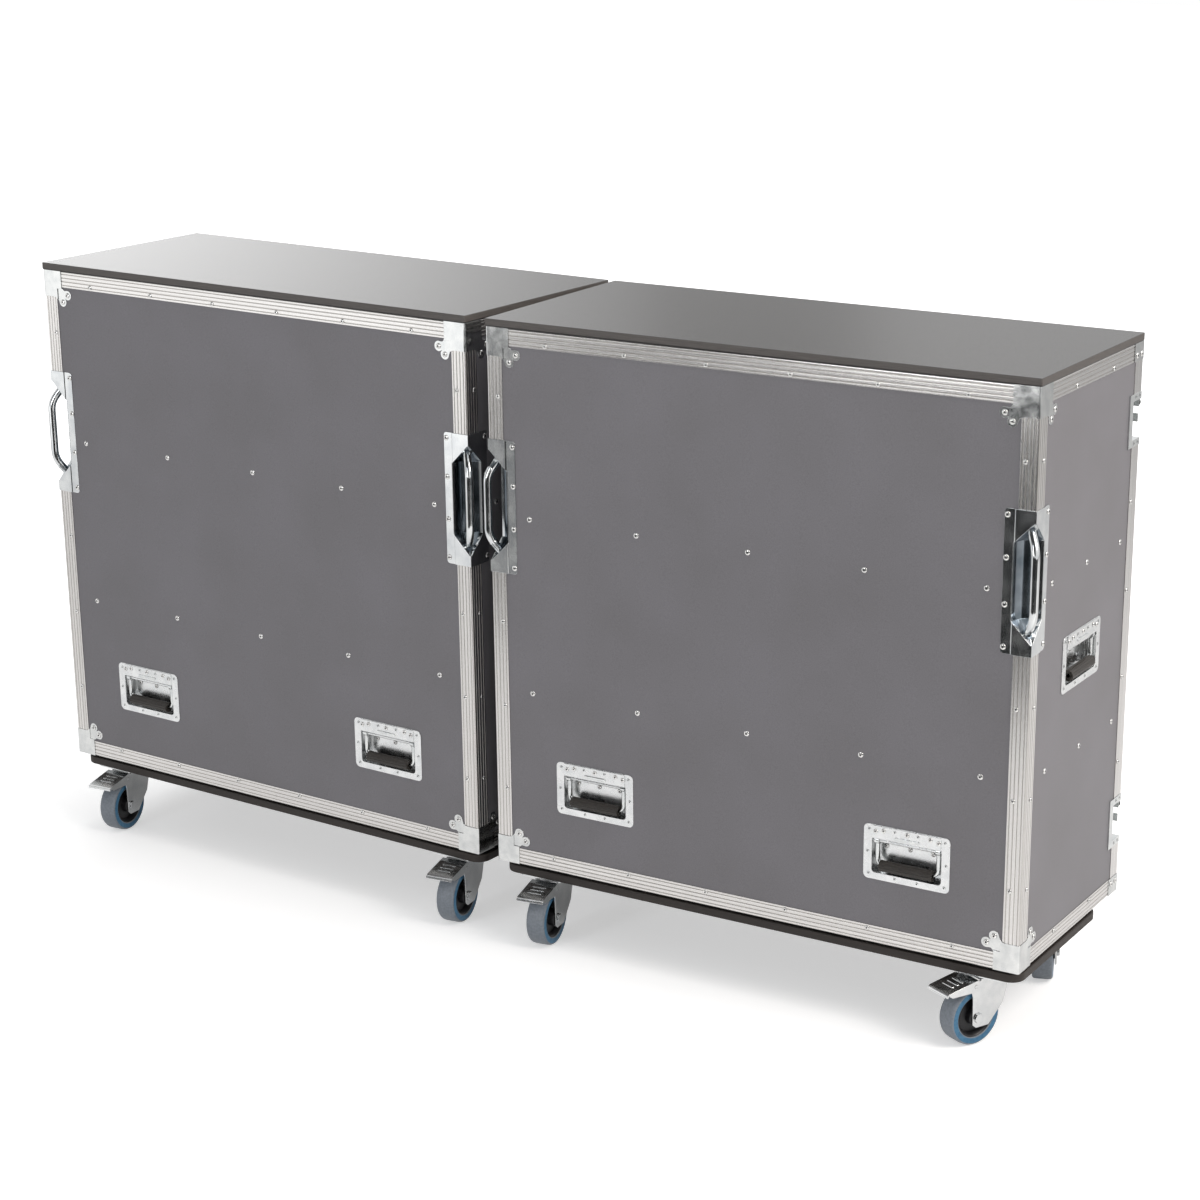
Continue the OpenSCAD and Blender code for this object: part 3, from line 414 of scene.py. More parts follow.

# %% [markdown]
# The castor board is plywood with a matt dark brown phenolic film. Above it lies a black strip up to the body: a
# painted shadow, the shade that the overhanging body casts on the board, drawn as a black sheet. Both swallow
# light; the film shows the plies faintly along its edge.

# %% Castor board film and the strip above it
board_film = grained("brown_film_plywood", (0.12, 0.12, 0.0022), ((0.3, "#282320"), (0.7, "#36302c")), (0.5, 0.62),
                     (0.15, 0.0003), Specular_IOR_Level=0.35)[0]
# Painted shadow: the black strip stands for the shade under the body's bottom edge.
body_shadow_strip = grained("painted_shadow_strip", 0.0015, ((0.3, "#0c0b0b"), (0.7, "#161514")), (0.7, 0.85), (0.3, 0.0004),
                     Specular_IOR_Level=0.2)[0]
print("made", board_film.name, body_shadow_strip.name)

# %% [markdown]
# Extruded aluminium, satin anodised. The die leaves fine lines along each length, which stretch reflections
# across it. The lines are noise, drawn out half a metre along the length and 1.2 mm across, which is coarser than
# the real die lines so that they show. Each direction of the case's edges has its own material, turned as the half
# case is turned.

# %% Extruded aluminium
LINE_RUN, LINE_PITCH = 0.5, 0.0012

def drawn_aluminium(side, axis):
    size = [LINE_PITCH] * 3
    size[axis] = LINE_RUN
    return grained(f"drawn_aluminium_{side}_{'xyz'[axis]}", size,
                   ((0.34, "#c1bfbd"), (0.5, "#cfcdcb"), (0.66, "#dcdad8")), (0.17, 0.28), (0.3, 0.00012),
                   LEAN[side], 3.0, Metallic=1.0)[0]

aluminium = {(side, axis): drawn_aluminium(side, axis) for side in HALVES for axis in range(3)}
print("made", len(aluminium), "aluminium finishes")

# %% [markdown]
# Bright zinc plate on pressed steel: a cool, fairly sharp mirror with faint clouds where the coat is thicker. The
# sheet isn't quite flat, so a long, very shallow swell bends what it mirrors. Handles are the glossiest and the
# spring handles' dishes the dullest. In the deep troughs of the corner handles the plate is painted bluish dark: a
# painted shade under the bars. Rivets and castors are metal of the same kind in other shades. So are two painted
# shades: dark steel in the rivets' hollows and seams and on the forks' pins, partly dirt at the seams, and dull
# aluminium on the floors of the flutes, painted shade together with dirt.

# %% Zinc plate and the other metals
SWELL = 0.018

def zinc_plate(name, low, high, rough, spread, cloud_size, wave=0.00002):
    """Clouds of the given size in metres, and a sheet that is wavy by wave metres over a finger's width."""
    finish, tree, shader, place = grained(name, cloud_size, ((0.35, low), (0.65, high)),
                                          (rough - spread, rough + spread), detail=5.0, Metallic=1.0)[:4]
    swell = add(tree, "ShaderNodeTexNoise", {"Vector": place, "Scale": 1 / SWELL, "Detail": 1.0}).outputs["Fac"]
    bump = add(tree, "ShaderNodeBump", {"Height": swell, "Strength": 1.0, "Distance": wave})
    tree.links.new(bump.outputs["Normal"], shader.inputs["Normal"])
    return finish

zinc = zinc_plate("bright_zinc_plate", "#c8cbcc", "#dcdedd", 0.18, 0.05, 0.02, 0.0001)
brace_zinc = zinc_plate("brace_zinc_plate", "#bfc1c1", "#d3d4d3", 0.16, 0.04, 0.02, 0.00012)
trough_shade_zinc = zinc_plate("blue_zinc_plate", "#5d666d", "#7d848b", 0.16, 0.05, 0.03)
dish_zinc = zinc_plate("dull_zinc_plate", "#d2d4d5", "#e2e3e3", 0.27, 0.05, 0.02, 0.0001)
handle_zinc = zinc_plate("handle_zinc_plate", "#c3c6c8", "#d8dada", 0.13, 0.04, 0.03, 0.0001)
rivet_steel = zinc_plate("rivet_steel", "#d2d2d0", "#e6e5e3", 0.24, 0.06, 0.003)
castor_zinc = zinc_plate("castor_zinc_plate", "#cccecf", "#d8d9d9", 0.2, 0.03, 0.02)
shade_and_dirt_steel = zinc_plate("dark_pin_steel", "#4a4a4a", "#606060", 0.4, 0.08, 0.002)
flute_shade_and_dirt = zinc_plate("unwiped_aluminium", "#a19d99", "#afaba7", 0.34, 0.06, 0.02)
print("made nine metals from", zinc.name, "to", flute_shade_and_dirt.name)

# %% [markdown]
# Rubber and plastic: a ribbed black grip, a grey tread that leaves no marks, its blue ring and a black nylon
# hub. Their skin comes from the mould, dull and slightly uneven.

# %% Rubber and plastic
def moulded(name, low, high, rough, size):
    return grained(name, size, ((0.3, low), (0.7, high)), (rough - 0.06, rough + 0.08), (0.15, 0.0002), detail=3.0,
                   Specular_IOR_Level=0.4)[0]

grip_rubber = moulded("grip_rubber", "#2a2724", "#38332f", 0.42, 0.003)
tread_rubber = moulded("grey_tread_rubber", "#727981", "#838a92", 0.4, 0.004)
ring_rubber = moulded("blue_ring_rubber", "#2f5f80", "#477a9b", 0.4, 0.006)
hub_nylon = moulded("black_hub_nylon", "#141416", "#1f1f22", 0.4, 0.004)
buffer_rubber = moulded("dark_buffer_rubber", "#3a3b3c", "#4a4b4c", 0.45, 0.002)
print("made rubber and plastic")

# %% [markdown]
# Panels, shelves and their rails have the right shape already: flat boards and plain angles. They keep their
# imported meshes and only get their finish.

# %% Boards and rails that stay
for side in HALVES:
    for kind, finish in (("panels", laminate), ("shelves", shelf_board), ("shelf_rails", zinc)):
        board = nodes[f"{side}_{kind}"].data
        board.materials.clear()
        board.materials.append(finish)
print("dressed panels, shelves and rails")

# %% [markdown]
# The counter top is a laminated board with a band glued round its edge and trimmed with a small round. A box is
# made at its size, its upright corners get a round of 2 mm and its rims one of 1 mm, and the band's faces are
# painted by the direction that they look in. The rounds under the band that face down keep the black of the top:
# a painted shade line under the edge.

# %% Counter tops
for side, home in HALVES.items():
    board = block(f"{side}_counter_top", (0, WIDTH), (TOP_FRONT, TOP_BACK), (TOP_Z, TOTAL))
    edit(board)
    pick("edges", lambda edge: along(edge, 2))
    bpy.ops.mesh.bevel(offset=2.0, segments=4)
    pick("edges", lambda edge: middle(edge).z > TOTAL - 0.01)
    bpy.ops.mesh.bevel(offset=1.0, segments=3)
    pick("edges", lambda edge: middle(edge).z < TOP_Z + 0.01)
    bpy.ops.mesh.bevel(offset=2.0, segments=2)
    done()
    board.data.transform(home)
    outward(board)
    shaded(board)
    painted(board, counter)
    # The band stops short of the rounds that face down: they keep the black of the top, a painted shade line under
    # the edge.
    painted(board, edge_band, lambda face: -0.25 < face.normal.z < 0.7)
    settled(board, f"{side}_half", "black_laminate", f"{side}_top")
    print(board.name, len(board.data.polygons), "faces")

# %% [markdown]
# The castor board has rounded corners of 25 mm, a softly rounded edge, and on it the black strip, a painted
# shadow of the body. The strip is made from the board's own top face: it is inset by 4 mm and drawn up to the body.

# %% Castor boards
BOARD_SIDE, BOARD_FRONT, BOARD_REAR, BOARD_R, SHADOW_STRIP_T = 5.0, -404.0, -72.0, 25.0, 9.0
for side, home in HALVES.items():
    board = block(f"{side}_castor_deck", (BOARD_SIDE, WIDTH - BOARD_SIDE), (BOARD_FRONT, BOARD_REAR),
                  (BASE_Z, BODY_Z - SHADOW_STRIP_T))
    edit(board)
    pick("edges", lambda edge: along(edge, 2))
    bpy.ops.mesh.bevel(offset=BOARD_R, segments=10)
    pick("edges", lambda edge: abs(edge.verts[0].co.z - edge.verts[1].co.z) < 0.01)
    bpy.ops.mesh.bevel(offset=2.0, segments=3)
    pick("faces", lambda face: face.normal.z > 0.99)
    bpy.ops.mesh.inset(thickness=4.0)
    bpy.ops.mesh.extrude_region_move(TRANSFORM_OT_translate={"value": (0, 0, SHADOW_STRIP_T)})
    done()
    painted(board, board_film)
    # The upper strip gets the black of the painted shadow that the body casts on the board.
    painted(board, body_shadow_strip, lambda face: face.center.z > BODY_Z - SHADOW_STRIP_T + 0.5)
    board.data.transform(home)
    outward(board)
    shaded(board)
    settled(board, f"{side}_half", "black_board", f"{side}_castor_board")
    print(board.name, len(board.data.polygons), "faces")

# %% [markdown]
# Aluminium edges: angles and rim channels, each a straight extruded length. The imported lengths have their
# flutes already. Each is taken apart into its lengths, which get the finish of their own direction and a small
# round on every edge, as the die leaves it. The floors of the flutes are painted duller and darker: painted shade
# in the grooves together with some dirt, which draws the fine lines along each length. They are found by their
# depth under the outer faces.

# %% Aluminium edges
FLUTE_FROM, FLUTE_TO = 0.18, 0.5

def in_flute_shade(spot):
    """True a fifth to half a millimetre under one of the outer faces of the case."""
    return FLUTE_FROM < min(abs(spot.x - X0), abs(spot.x - X1), abs(spot.y - FRONT), abs(spot.y - RIM)) < FLUTE_TO

for side, home in HALVES.items():
    for kind in ("edge_angles", "rim_channels"):
        lengths = islands(copy_of(f"{side}_{kind}"))
        for length in lengths:
            spans = size_of(length)
            painted(length, aluminium[(side, spans.index(max(spans)))])
        edges = softened(joined(lengths, f"{side}_{kind}_finished"), 0.25)
        # Painted shade and dirt: the floors of the flutes get a darker, duller aluminium.
        painted(edges, flute_shade_and_dirt, lambda face: in_flute_shade(home.inverted() @ face.center))
        settled(edges, f"{side}_half", "aluminium", f"{side}_{kind}")
        print(edges.name, len(lengths), "lengths,", len(edges.data.polygons), "faces")

# %% [markdown]
# Pressed steel: braces, corner handles, spring handle dishes, latch dishes and hinges. A press rounds each edge
# of the sheet by a few tenths of a millimetre, which is what catches the light. Their shapes are the packed
# ones, merged and softened.

# %% Pressed steel
TROUGH_FROM = 3.5

def in_trough_shade(spot):
    """True behind both outer faces of the case, where the handles' troughs are and their bars are not; there the
    shade is painted.
    """
    deep = min(max(spot.x - X0, 0) if spot.x < WIDTH / 2 else X1 - spot.x, spot.y - FRONT)
    return deep > TROUGH_FROM

for side, home in HALVES.items():
    for node, finish, width in ((f"{side}_corner_braces", brace_zinc, 0.35),
                                (f"{side}_corner_handles", handle_zinc, 0.4),
                                (f"{side}_spring_dishes", dish_zinc, 0.4), (f"{side}_latch_dishes", zinc, 0.3),
                                (f"hinges_{side}", zinc, 0.3)):
        pressed = painted(softened(copy_of(node), width), finish)
        # Painted shade: the faces deep in the troughs get a darker, bluish zinc.
        if finish is handle_zinc:
            painted(pressed, trough_shade_zinc, lambda face: in_trough_shade(home.inverted() @ face.center))
        settled(pressed, f"{side}_half", "zinc_steel", node)
        print(pressed.name, len(pressed.data.polygons), "faces")

# %% [markdown]
# Rivets. Two sizes of domed rivet hold the case together: large ones of 10 mm in braces, handles and panels,
# small ones of 6.4 mm along the aluminium. Each has a dimple where its mandrel broke off, painted dark: a painted
# shade in the hollow. A rivet is turned once from a disc, with fourteen sides, and copied to its places. The seam
# round a head is painted dark too: painted shade where the head meets the sheet, together with some dirt.

# %% Rivet models
def rivet(name, head, dome, hollow):
    made = turned_solid(name, [(head, -0.3), (head, 0.25 * dome), (0.86 * head, 0.7 * dome), (0.55 * head, dome),
                               (hollow, 0.95 * dome), (0.8 * hollow, 0.25 * dome)], 14)
    painted(made, rivet_steel)
    # Painted shade: the hollow and the seam round the head get dark steel, at the seam together with dirt.
    painted(made, shade_and_dirt_steel, lambda face: face.center.xy.length < 0.9 * hollow and face.center.z < 0.8 * dome)
    return painted(made, shade_and_dirt_steel, lambda face: face.center.z < 0.2 * dome and abs(face.normal.z) < 0.5)

big_rivet = rivet("big_rivet", 5.0, 1.9, 1.8)
small_rivet = rivet("small_rivet", 4.1, 1.8, 1.5)
print("rivets have", len(big_rivet.data.polygons), "faces")

# %% [markdown]
# The panel rivets hold the shelves' rails, in two rows: five across the front and three on each side. Each keeps
# its shank and the set tail behind the rail, which show inside the case, as turned pieces.

# %% Panel rivets
UPPER_ROW, LOWER_ROW, ROW_SIDE, ROW_FRONT, ROW_PITCH = 336.0, 645.0, 80.0, 79.0, 140.0
RAIL_BACK, TAIL, SHANK_R = -11.5, 2.4, 2.4
shank = turned_solid("shank", [(SHANK_R, RAIL_BACK - TAIL), (SHANK_R, -0.2)], 12)
tail = turned_solid("tail", [(1.4 * SHANK_R, RAIL_BACK - TAIL), (1.5 * SHANK_R, RAIL_BACK - TAIL / 2),
                             (1.2 * SHANK_R, RAIL_BACK)], 12)
panel_rivet = joined([rivet("panel_rivet", 5.0, 1.6, 1.8), shank, tail], "panel_rivet")

def panel_rivet_places():
    for drop in (UPPER_ROW, LOWER_ROW):
        for i in range(5):
            yield facing(ROW_SIDE + i * (WIDTH - 2 * ROW_SIDE) / 4, FRONT + WALL, TOTAL - drop, (0, -1, 0))
        for i in range(3):
            y = TOP_FRONT + ROW_FRONT + i * ROW_PITCH
            yield facing(X1 - WALL, y, TOTAL - drop, (1, 0, 0))
            yield facing(X0 + WALL, y, TOTAL - drop, (-1, 0, 0))

for side, home in HALVES.items():
    row = repeated(panel_rivet, [home @ place for place in panel_rivet_places()], f"{side}_panel_rivets")
    shaded(row, 50)
    settled(row, f"{side}_half", "zinc_steel", f"{side}_rivets")
    print(row.name, len(row.data.polygons), "faces")

# %% [markdown]
# Rivets of the edges, braces and handles. Along the front they are 152.5 mm apart. The braces have one on each
# lobe, the corner handles four on each face.

# %% Places of the edge, brace and handle rivets
EDGE_PITCH, FIRST_U, EDGE_IN, SIDE_BACKS = 152.5, 118.0, 24.0, (142.8, 293.0)
UPRIGHT_Z, UPRIGHT_IN = (986.0, 593.0, 441.0, 289.0), 21.0
RIM_RIVET_Z, RIM_IN, PLATE_IN, HANDLE_IN = (840.0, 690.0, 540.0, 390.0), 22.0, (9.0, 28.0), 47.0
SIDES = ((X0, 1, (-1, 0, 0)), (X1, -1, (1, 0, 0)))
LOBES = ((57.45, 44.4), (44.4, 57.45))
HANDLE_DROPS = (214.3, 282.2, 356.9, 425.0)

def edge_rivet_places():
    for z in (TOP_Z - EDGE_IN, BODY_Z + EDGE_IN):
        for i in range(6):
            yield facing(FIRST_U + i * EDGE_PITCH, FRONT, z, (0, -1, 0))
        for x, inward, out in SIDES:
            for back in SIDE_BACKS:
                yield facing(x, TOP_FRONT + back, z, out)
    for z in UPRIGHT_Z:
        for x, inward, out in SIDES:
            yield facing(x + inward * UPRIGHT_IN, FRONT, z, (0, -1, 0))
            yield facing(x, FRONT + UPRIGHT_IN, z, out)
    for z in RIM_RIVET_Z:
        for x, inward, out in SIDES:
            yield facing(x, RIM - RIM_IN, z, out)

def sheet_rivet_places():
    panel_front, panel_side = FRONT + WALL - SHEET, WALL - SHEET
    for x, inward, out in SIDES:
        for z, down in ((TOP_Z, -1), (BODY_Z, 1)):
            for u, v in LOBES:
                yield facing(x + inward * u, panel_front, z + down * v, (0, -1, 0))
                yield facing(x + inward * panel_side, FRONT + u, z + down * v, out)
            for back in PLATE_IN:
                yield facing(x - inward * SHEET, RIM - back, z + down * 20, out)
        for drop in HANDLE_DROPS:
            yield facing(x + inward * HANDLE_IN, panel_front, TOTAL - drop, (0, -1, 0))
            yield facing(x + inward * panel_side, FRONT + HANDLE_IN, TOTAL - drop, out)

for side, home in HALVES.items():
    for model, places, name in ((small_rivet, edge_rivet_places(), f"{side}_edge_rivets"),
                                (big_rivet, sheet_rivet_places(), f"{side}_sheet_rivets")):
        row = repeated(model, [home @ place for place in places], name)
        shaded(row, 50)
        settled(row, f"{side}_half", "zinc_steel")
        print(row.name, len(row.data.polygons), "faces")

# %% [markdown]
# The spring handles' dishes carry small rivets round the flange, domed ones in the hinge strip and three in the
# back of the dish, and a pressed bar across the strip. Places are given from the upper left corner of the
# flange: u to the right, d down.

# %% Fittings of the spring handles
DISH_W, DISH_H, FLANGE_T, STRIP = 154.0, 95.0, 1.5, 1.5
DISH_BACK = 19.0 - SHEET
FLANGE_RIVETS = ((9.5, 9.0), (144.5, 9.0), (9.5, 86.0), (144.5, 86.0), (7.0, 48.0), (147.0, 48.0), (56.5, 88.5),
                 (96.5, 88.5))
STRIP_RIVETS = ((22.0, 10.5), (36.4, 7.5), (78.3, 7.5), (119.5, 7.5), (134.0, 10.5))
STRIP_FLUSH = ((56.0, 7.0), (97.4, 7.0))
BACK_RIVETS = ((33.0, 40.0), (75.0, 40.0), (116.0, 40.0))
LOW_Z, SIDE_Z = BODY_Z + 159.5, TOTAL - 487.0

flush_rivet = turned_solid("flush_rivet", [(3.0, -0.3), (3.0, 0.3), (2.4, 0.6), (1.3, 0.5), (1.1, 0.05)], 14)
painted(flush_rivet, zinc)
# Painted shade: the flush rivets' edges and centres get dark steel.
painted(flush_rivet, shade_and_dirt_steel, lambda face: abs(face.normal.z) < 0.5 or face.center.xy.length < 0.9)
strip_bar = block("strip_bar", (-22, 22), (-2.6, 2.6), (-0.4, 1.5))
edit(strip_bar)
pick("edges", lambda edge: along(edge, 2))
bpy.ops.mesh.bevel(offset=2.4, segments=5)
pick("edges", lambda edge: middle(edge).z > 1.49)
bpy.ops.mesh.bevel(offset=1.0, segments=3)
painted(done(), zinc)

def on_dish(centre, u, d, deep):
    """A place on a dish: u and d from the flange's upper left corner, deep into the case from the panel."""
    return centre @ Matrix.Translation((u - DISH_W / 2, DISH_H / 2 - d, -deep))

DISH_IN, BAR_AT = 204.0, (78.3, 17.5)
DISHES = (facing(DISH_IN, FRONT + WALL, LOW_Z, (0, -1, 0)),
          facing(WIDTH - DISH_IN, FRONT + WALL, LOW_Z, (0, -1, 0)),
          facing(X1 - WALL, TOP_FRONT / 2, SIDE_Z, (1, 0, 0)))
STRIP_DEEP = -FLANGE_T - STRIP
DISH_FITTINGS = ((flush_rivet, FLANGE_RIVETS, -FLANGE_T), (small_rivet, STRIP_RIVETS, STRIP_DEEP),
                 (flush_rivet, STRIP_FLUSH, STRIP_DEEP), (small_rivet, BACK_RIVETS, DISH_BACK),
                 (strip_bar, (BAR_AT,), STRIP_DEEP))

for side, home in HALVES.items():
    made = []
    for centre in DISHES:
        for model, places, deep in DISH_FITTINGS:
            spots = [home @ on_dish(centre, u, d, deep) for u, d in places]
            made.append(repeated(model, spots, f"{side}_dish_fitting"))
    fittings = joined(made, f"{side}_dish_fittings")
    shaded(fittings, 50)
    settled(fittings, f"{side}_half", "zinc_steel")
    print(fittings.name, len(fittings.data.polygons), "faces")

# %% [markdown]
# A spring handle's bail is a bent rod with a ribbed rubber grip over its cross piece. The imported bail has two
# bodies, the rod and the grip; they are taken apart to give each its finish.

# %% Bails
GRIP_GROWS, GRIP_OUT = 4.5, 4.0

def fitted_grip(grip, joint):
    """The grip grows at both ends along the pivot's axis and sits a little in front of its rod."""
    axis = Vector(joint["axis"])
    out = Vector((-axis.y, axis.x, 0))
    centre = sum((vert.co for vert in grip.data.vertices), Vector()) / len(grip.data.vertices)
    edit(grip)
    for way in (-1, 1):
        pick("verts", lambda vert: way * (vert.co - centre).dot(axis) > 0)
        bpy.ops.transform.translate(value=way * GRIP_GROWS * MM * axis)
    bpy.ops.mesh.select_all(action="SELECT")
    bpy.ops.transform.translate(value=GRIP_OUT * MM * out)
    done()

for side in HALVES:
    for spot in ("inner", "outer", "side"):
        node = f"{side}_bail_{spot}"
        parts = islands(copy_of(node))
        grip = min(parts, key=lambda part: size_of(part)[2])
        fitted_grip(grip, joints[node + "_swing"])
        for part in parts:
            painted(part, grip_rubber if part is grip else zinc)
        bail = softened(joined(parts, node + "_finished"), 0.25, corner=40)
        settled(bail, node, "zinc_steel", node)
        print(bail.name, len(parts), "parts,", len(bail.data.polygons), "faces")

# %% [markdown]
# Latch and hinge fittings: rivets on the flanges of the latch dishes, screws in the hinge leaves, and the
# rubber of the round buffer that locates the closed halves.

# %% Fittings of latches and hinges
LATCH_Z, LATCH_H = (TOTAL - 140.0, BODY_Z + 132.0), 88.0
HINGE_Z = (BODY_Z + 110.0, (BODY_Z + TOP_Z) / 2, TOP_Z - 110.0)
BUFFER_R, BUFFER_UP = 6.0, 25.8

def fitting_places():
    for z in LATCH_Z:
        for y in (-8.0, -24.0):
            for up_or_down in (-1, 1):
                yield facing(X1 + SHEET, y, z + up_or_down * (LATCH_H / 2 - 5.5), (1, 0, 0))
    for z in HINGE_Z:
        for y, rise in ((-14.0, -25.0), (-14.0, 25.0), (-26.0, -14.0), (-26.0, 14.0)):
            yield facing(X0 - 3.0, y, z + rise, (-1, 0, 0))

buffer_cap = turned_ring("buffer_cap", [(3.0, 0.0), (3.0, 5.0), (4.2, 5.9), (5.6, 5.6), (6.3, 4.6), (6.3, 0.0)], 32)
for side, home in HALVES.items():
    row = repeated(flush_rivet, [home @ place for place in fitting_places()], f"{side}_fitting_rivets")
    shaded(row, 50)
    settled(row, f"{side}_half", "zinc_steel")
caps = repeated(buffer_cap, [RIGHT @ facing(X1 - BUFFER_R + 0.5, -6.6, z + BUFFER_UP, (0, 1, 0)) for z in LATCH_Z],
                "keeper_buffers")
shaded(caps, 50)
settled(painted(caps, buffer_rubber), "right_half", "black_board")
for node in ("left_latch_upper", "left_latch_lower"):
    rotor = painted(softened(copy_of(node), 0.3), zinc)
    settled(rotor, node, "zinc_steel", node)
print("latches and hinges fitted")

# %% [markdown]
# Castors. Each stands in its own frame: x along its trail, z up from the floor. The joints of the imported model
# say where the swivel axis and the axle are, and so which way each castor trails.

# %% Castor frames
CASTORS = [name[len("swivel_"):] for name in joints if name.startswith("swivel_")]

def castor_frame(name):
    swivel, axle = Vector(joints["swivel_" + name]["pos_m"]), Vector(joints["roll_" + name]["pos_m"])
    trail = axle - swivel
    return (Matrix.Translation((swivel.x, swivel.y, 0)) @ Matrix.Rotation(math.atan2(trail.y, trail.x), 4, "Z")
            @ Matrix.Scale(MM, 4))

print(len(CASTORS), "castors:", CASTORS)

# %% [markdown]
# The wheel has a grey tyre with round shoulders, a blue ring on each side of it and a dished black hub. Both
# rings are turned about the axle from their sections. The brake side and the other side are alike.

# %% Wheel model
WHEEL_R, TRAIL, AXLE_Z, BLUE_FROM = 50.0, 40.0, 50.0, 17.4
tyre = turned_ring("tyre", [(37.5, -17.5), (46.2, -17.5), (48.2, -16.6), (49.5, -14.4), (WHEEL_R, -10.5),
                            (WHEEL_R, 10.5), (49.5, 14.4), (48.2, 16.6), (46.2, 17.5), (37.5, 17.5),
                            (36.1, 16.6), (36.1, -16.6)], 72)
painted(tyre, tread_rubber)
painted(tyre, ring_rubber, lambda face: abs(face.center.z) > BLUE_FROM)
hub = turned_ring("hub", [(6.1, -19.9), (13.0, -19.9), (14.5, -18.6), (15.5, -9.0), (29.0, -7.0), (32.5, -14.0),
                          (35.9, -16.0), (35.9, 16.0), (32.5, 14.0), (29.0, 7.0), (15.5, 9.0), (14.5, 18.6),
                          (13.0, 19.9), (6.1, 19.9)], 72)
painted(hub, hub_nylon)
wheel_model = joined([tyre, hub], "wheel_model")
shaded(wheel_model, 35)
UPRIGHT_WHEEL = Matrix.Translation((TRAIL, 0, AXLE_Z)) @ Matrix.Rotation(math.radians(90), 4, "X")
for name in CASTORS:
    wheel = repeated(wheel_model, [castor_frame(name) @ UPRIGHT_WHEEL], f"wheel_{name}_turned")
    settled(wheel, f"wheel_{name}", "grey_tread", f"wheel_{name}")
print("wheels have", len(wheel_model.data.polygons), "faces each")

# %% [markdown]
# Forks and pedals are pressed from 3 mm and 2 mm sheet, so their edges get a round of about half a millimetre.
# A pedal has three pressed ribs across its tread plate, which keep a shoe from slipping. A dark pin head shows
# A pin head shows where the pedal turns in the fork; it is dark steel, a painted shade for the hole round the
# pivot.

# %% Forks and pedals
RIB_X, RIB_SLOPE, PLATE_Z = (66.0, 76.0, 86.0), 0.1712, 118.2
rib = block("rib", (-2.0, 2.0), (-13, 13), (-0.5, 1.1))
edit(rib)
pick("edges", lambda edge: middle(edge).z > 1.09 or along(edge, 2))
bpy.ops.mesh.bevel(offset=0.9, segments=3)
done()
# Painted shade: the pivot pins are dark steel, standing for the shaded hole.
pin = painted(turned_solid("pin", [(3.2, -0.4), (3.2, 0.5), (2.6, 0.9), (1.8, 0.9), (1.5, 0.3)], 16), shade_and_dirt_steel)
PIN_REACH = 25.0
for name in CASTORS:
    fork = painted(softened(copy_of(f"fork_{name}"), 0.5), castor_zinc)
    pivot, axis = Vector(joints["brake_" + name]["pos_m"]), Vector(joints["brake_" + name]["axis"])
    pins = [Matrix.Translation(pivot + PIN_REACH * MM * out) @ out.to_track_quat("Z", "Y").to_matrix().to_4x4()
            @ Matrix.Scale(MM, 4) for out in (axis, -axis)]
    fork = joined([fork, repeated(pin, pins, f"fork_{name}_pins")], f"fork_{name}_finished")
    settled(fork, f"fork_{name}", "zinc_steel", f"fork_{name}")
    pedal = painted(softened(copy_of(f"pedal_{name}"), 0.4), castor_zinc)
    home = castor_frame(name)
    tilt = Matrix.Rotation(math.atan(RIB_SLOPE), 4, "Y")
    ribs = repeated(rib, [home @ Matrix.Translation((x, 0, PLATE_Z - (x - 44) * RIB_SLOPE)) @ tilt for x in RIB_X],
                    f"pedal_{name}_ribs")
    pedal = joined([pedal, painted(ribs, castor_zinc)], f"pedal_{name}_finished")
    settled(pedal, f"pedal_{name}", "zinc_steel", f"pedal_{name}")
print("forks and pedals finished")

# %% [markdown]
# Swivel plates with their four bolts. A bolt's hexagon head is a turned piece of six sides with a washer ring.

# %% Castor plates and bolts
PLATE_HOLES = [(sx * 31.0, sy * 39.0) for sx in (-1, 1) for sy in (-1, 1)]
washer = turned_solid("washer", [(7.0, 0.0), (7.0, 0.7), (6.5, 0.9)], 20)
head = turned_solid("bolt_head", [(5.6, 0.8), (5.6, 2.5), (5.0, 2.9)], 6)
bolt = joined([washer, head], "plate_bolt")
for side in HALVES:
    plates = painted(softened(copy_of(f"{side}_castor_plates"), 0.4), castor_zinc)
    spots = []
    for name in CASTORS:
        if name.startswith(side):
            swivel = joints["swivel_" + name]["pos_m"]
            base = (Matrix.Translation((swivel[0], swivel[1], (BASE_Z - 3) * MM))
                    @ Matrix.Rotation(LEAN[side], 4, "Z") @ Matrix.Scale(MM, 4))
            spots += [base @ Matrix.Translation((x, y, 0)) @ Matrix.Rotation(math.pi, 4, "X")
                      for x, y in PLATE_HOLES]
    bolts = painted(repeated(bolt, spots, f"{side}_plate_bolts"), castor_zinc)
    plates = joined([plates, bolts], f"{side}_castor_plates_finished")
    settled(plates, f"{side}_half", "zinc_steel", f"{side}_castor_plates")
for model in (big_rivet, small_rivet, flush_rivet, panel_rivet, strip_bar, buffer_cap, wheel_model, rib, pin, bolt):
    bpy.data.objects.remove(model)
print("castor plates bolted on; the models that were copied are cleared away")

# %% [markdown]
# Studio. The world is white to the camera and in mirrors, and lights the case softly from all round. Both are
# the same white; a Light Path node chooses between a full and a lower strength by the kind of ray.

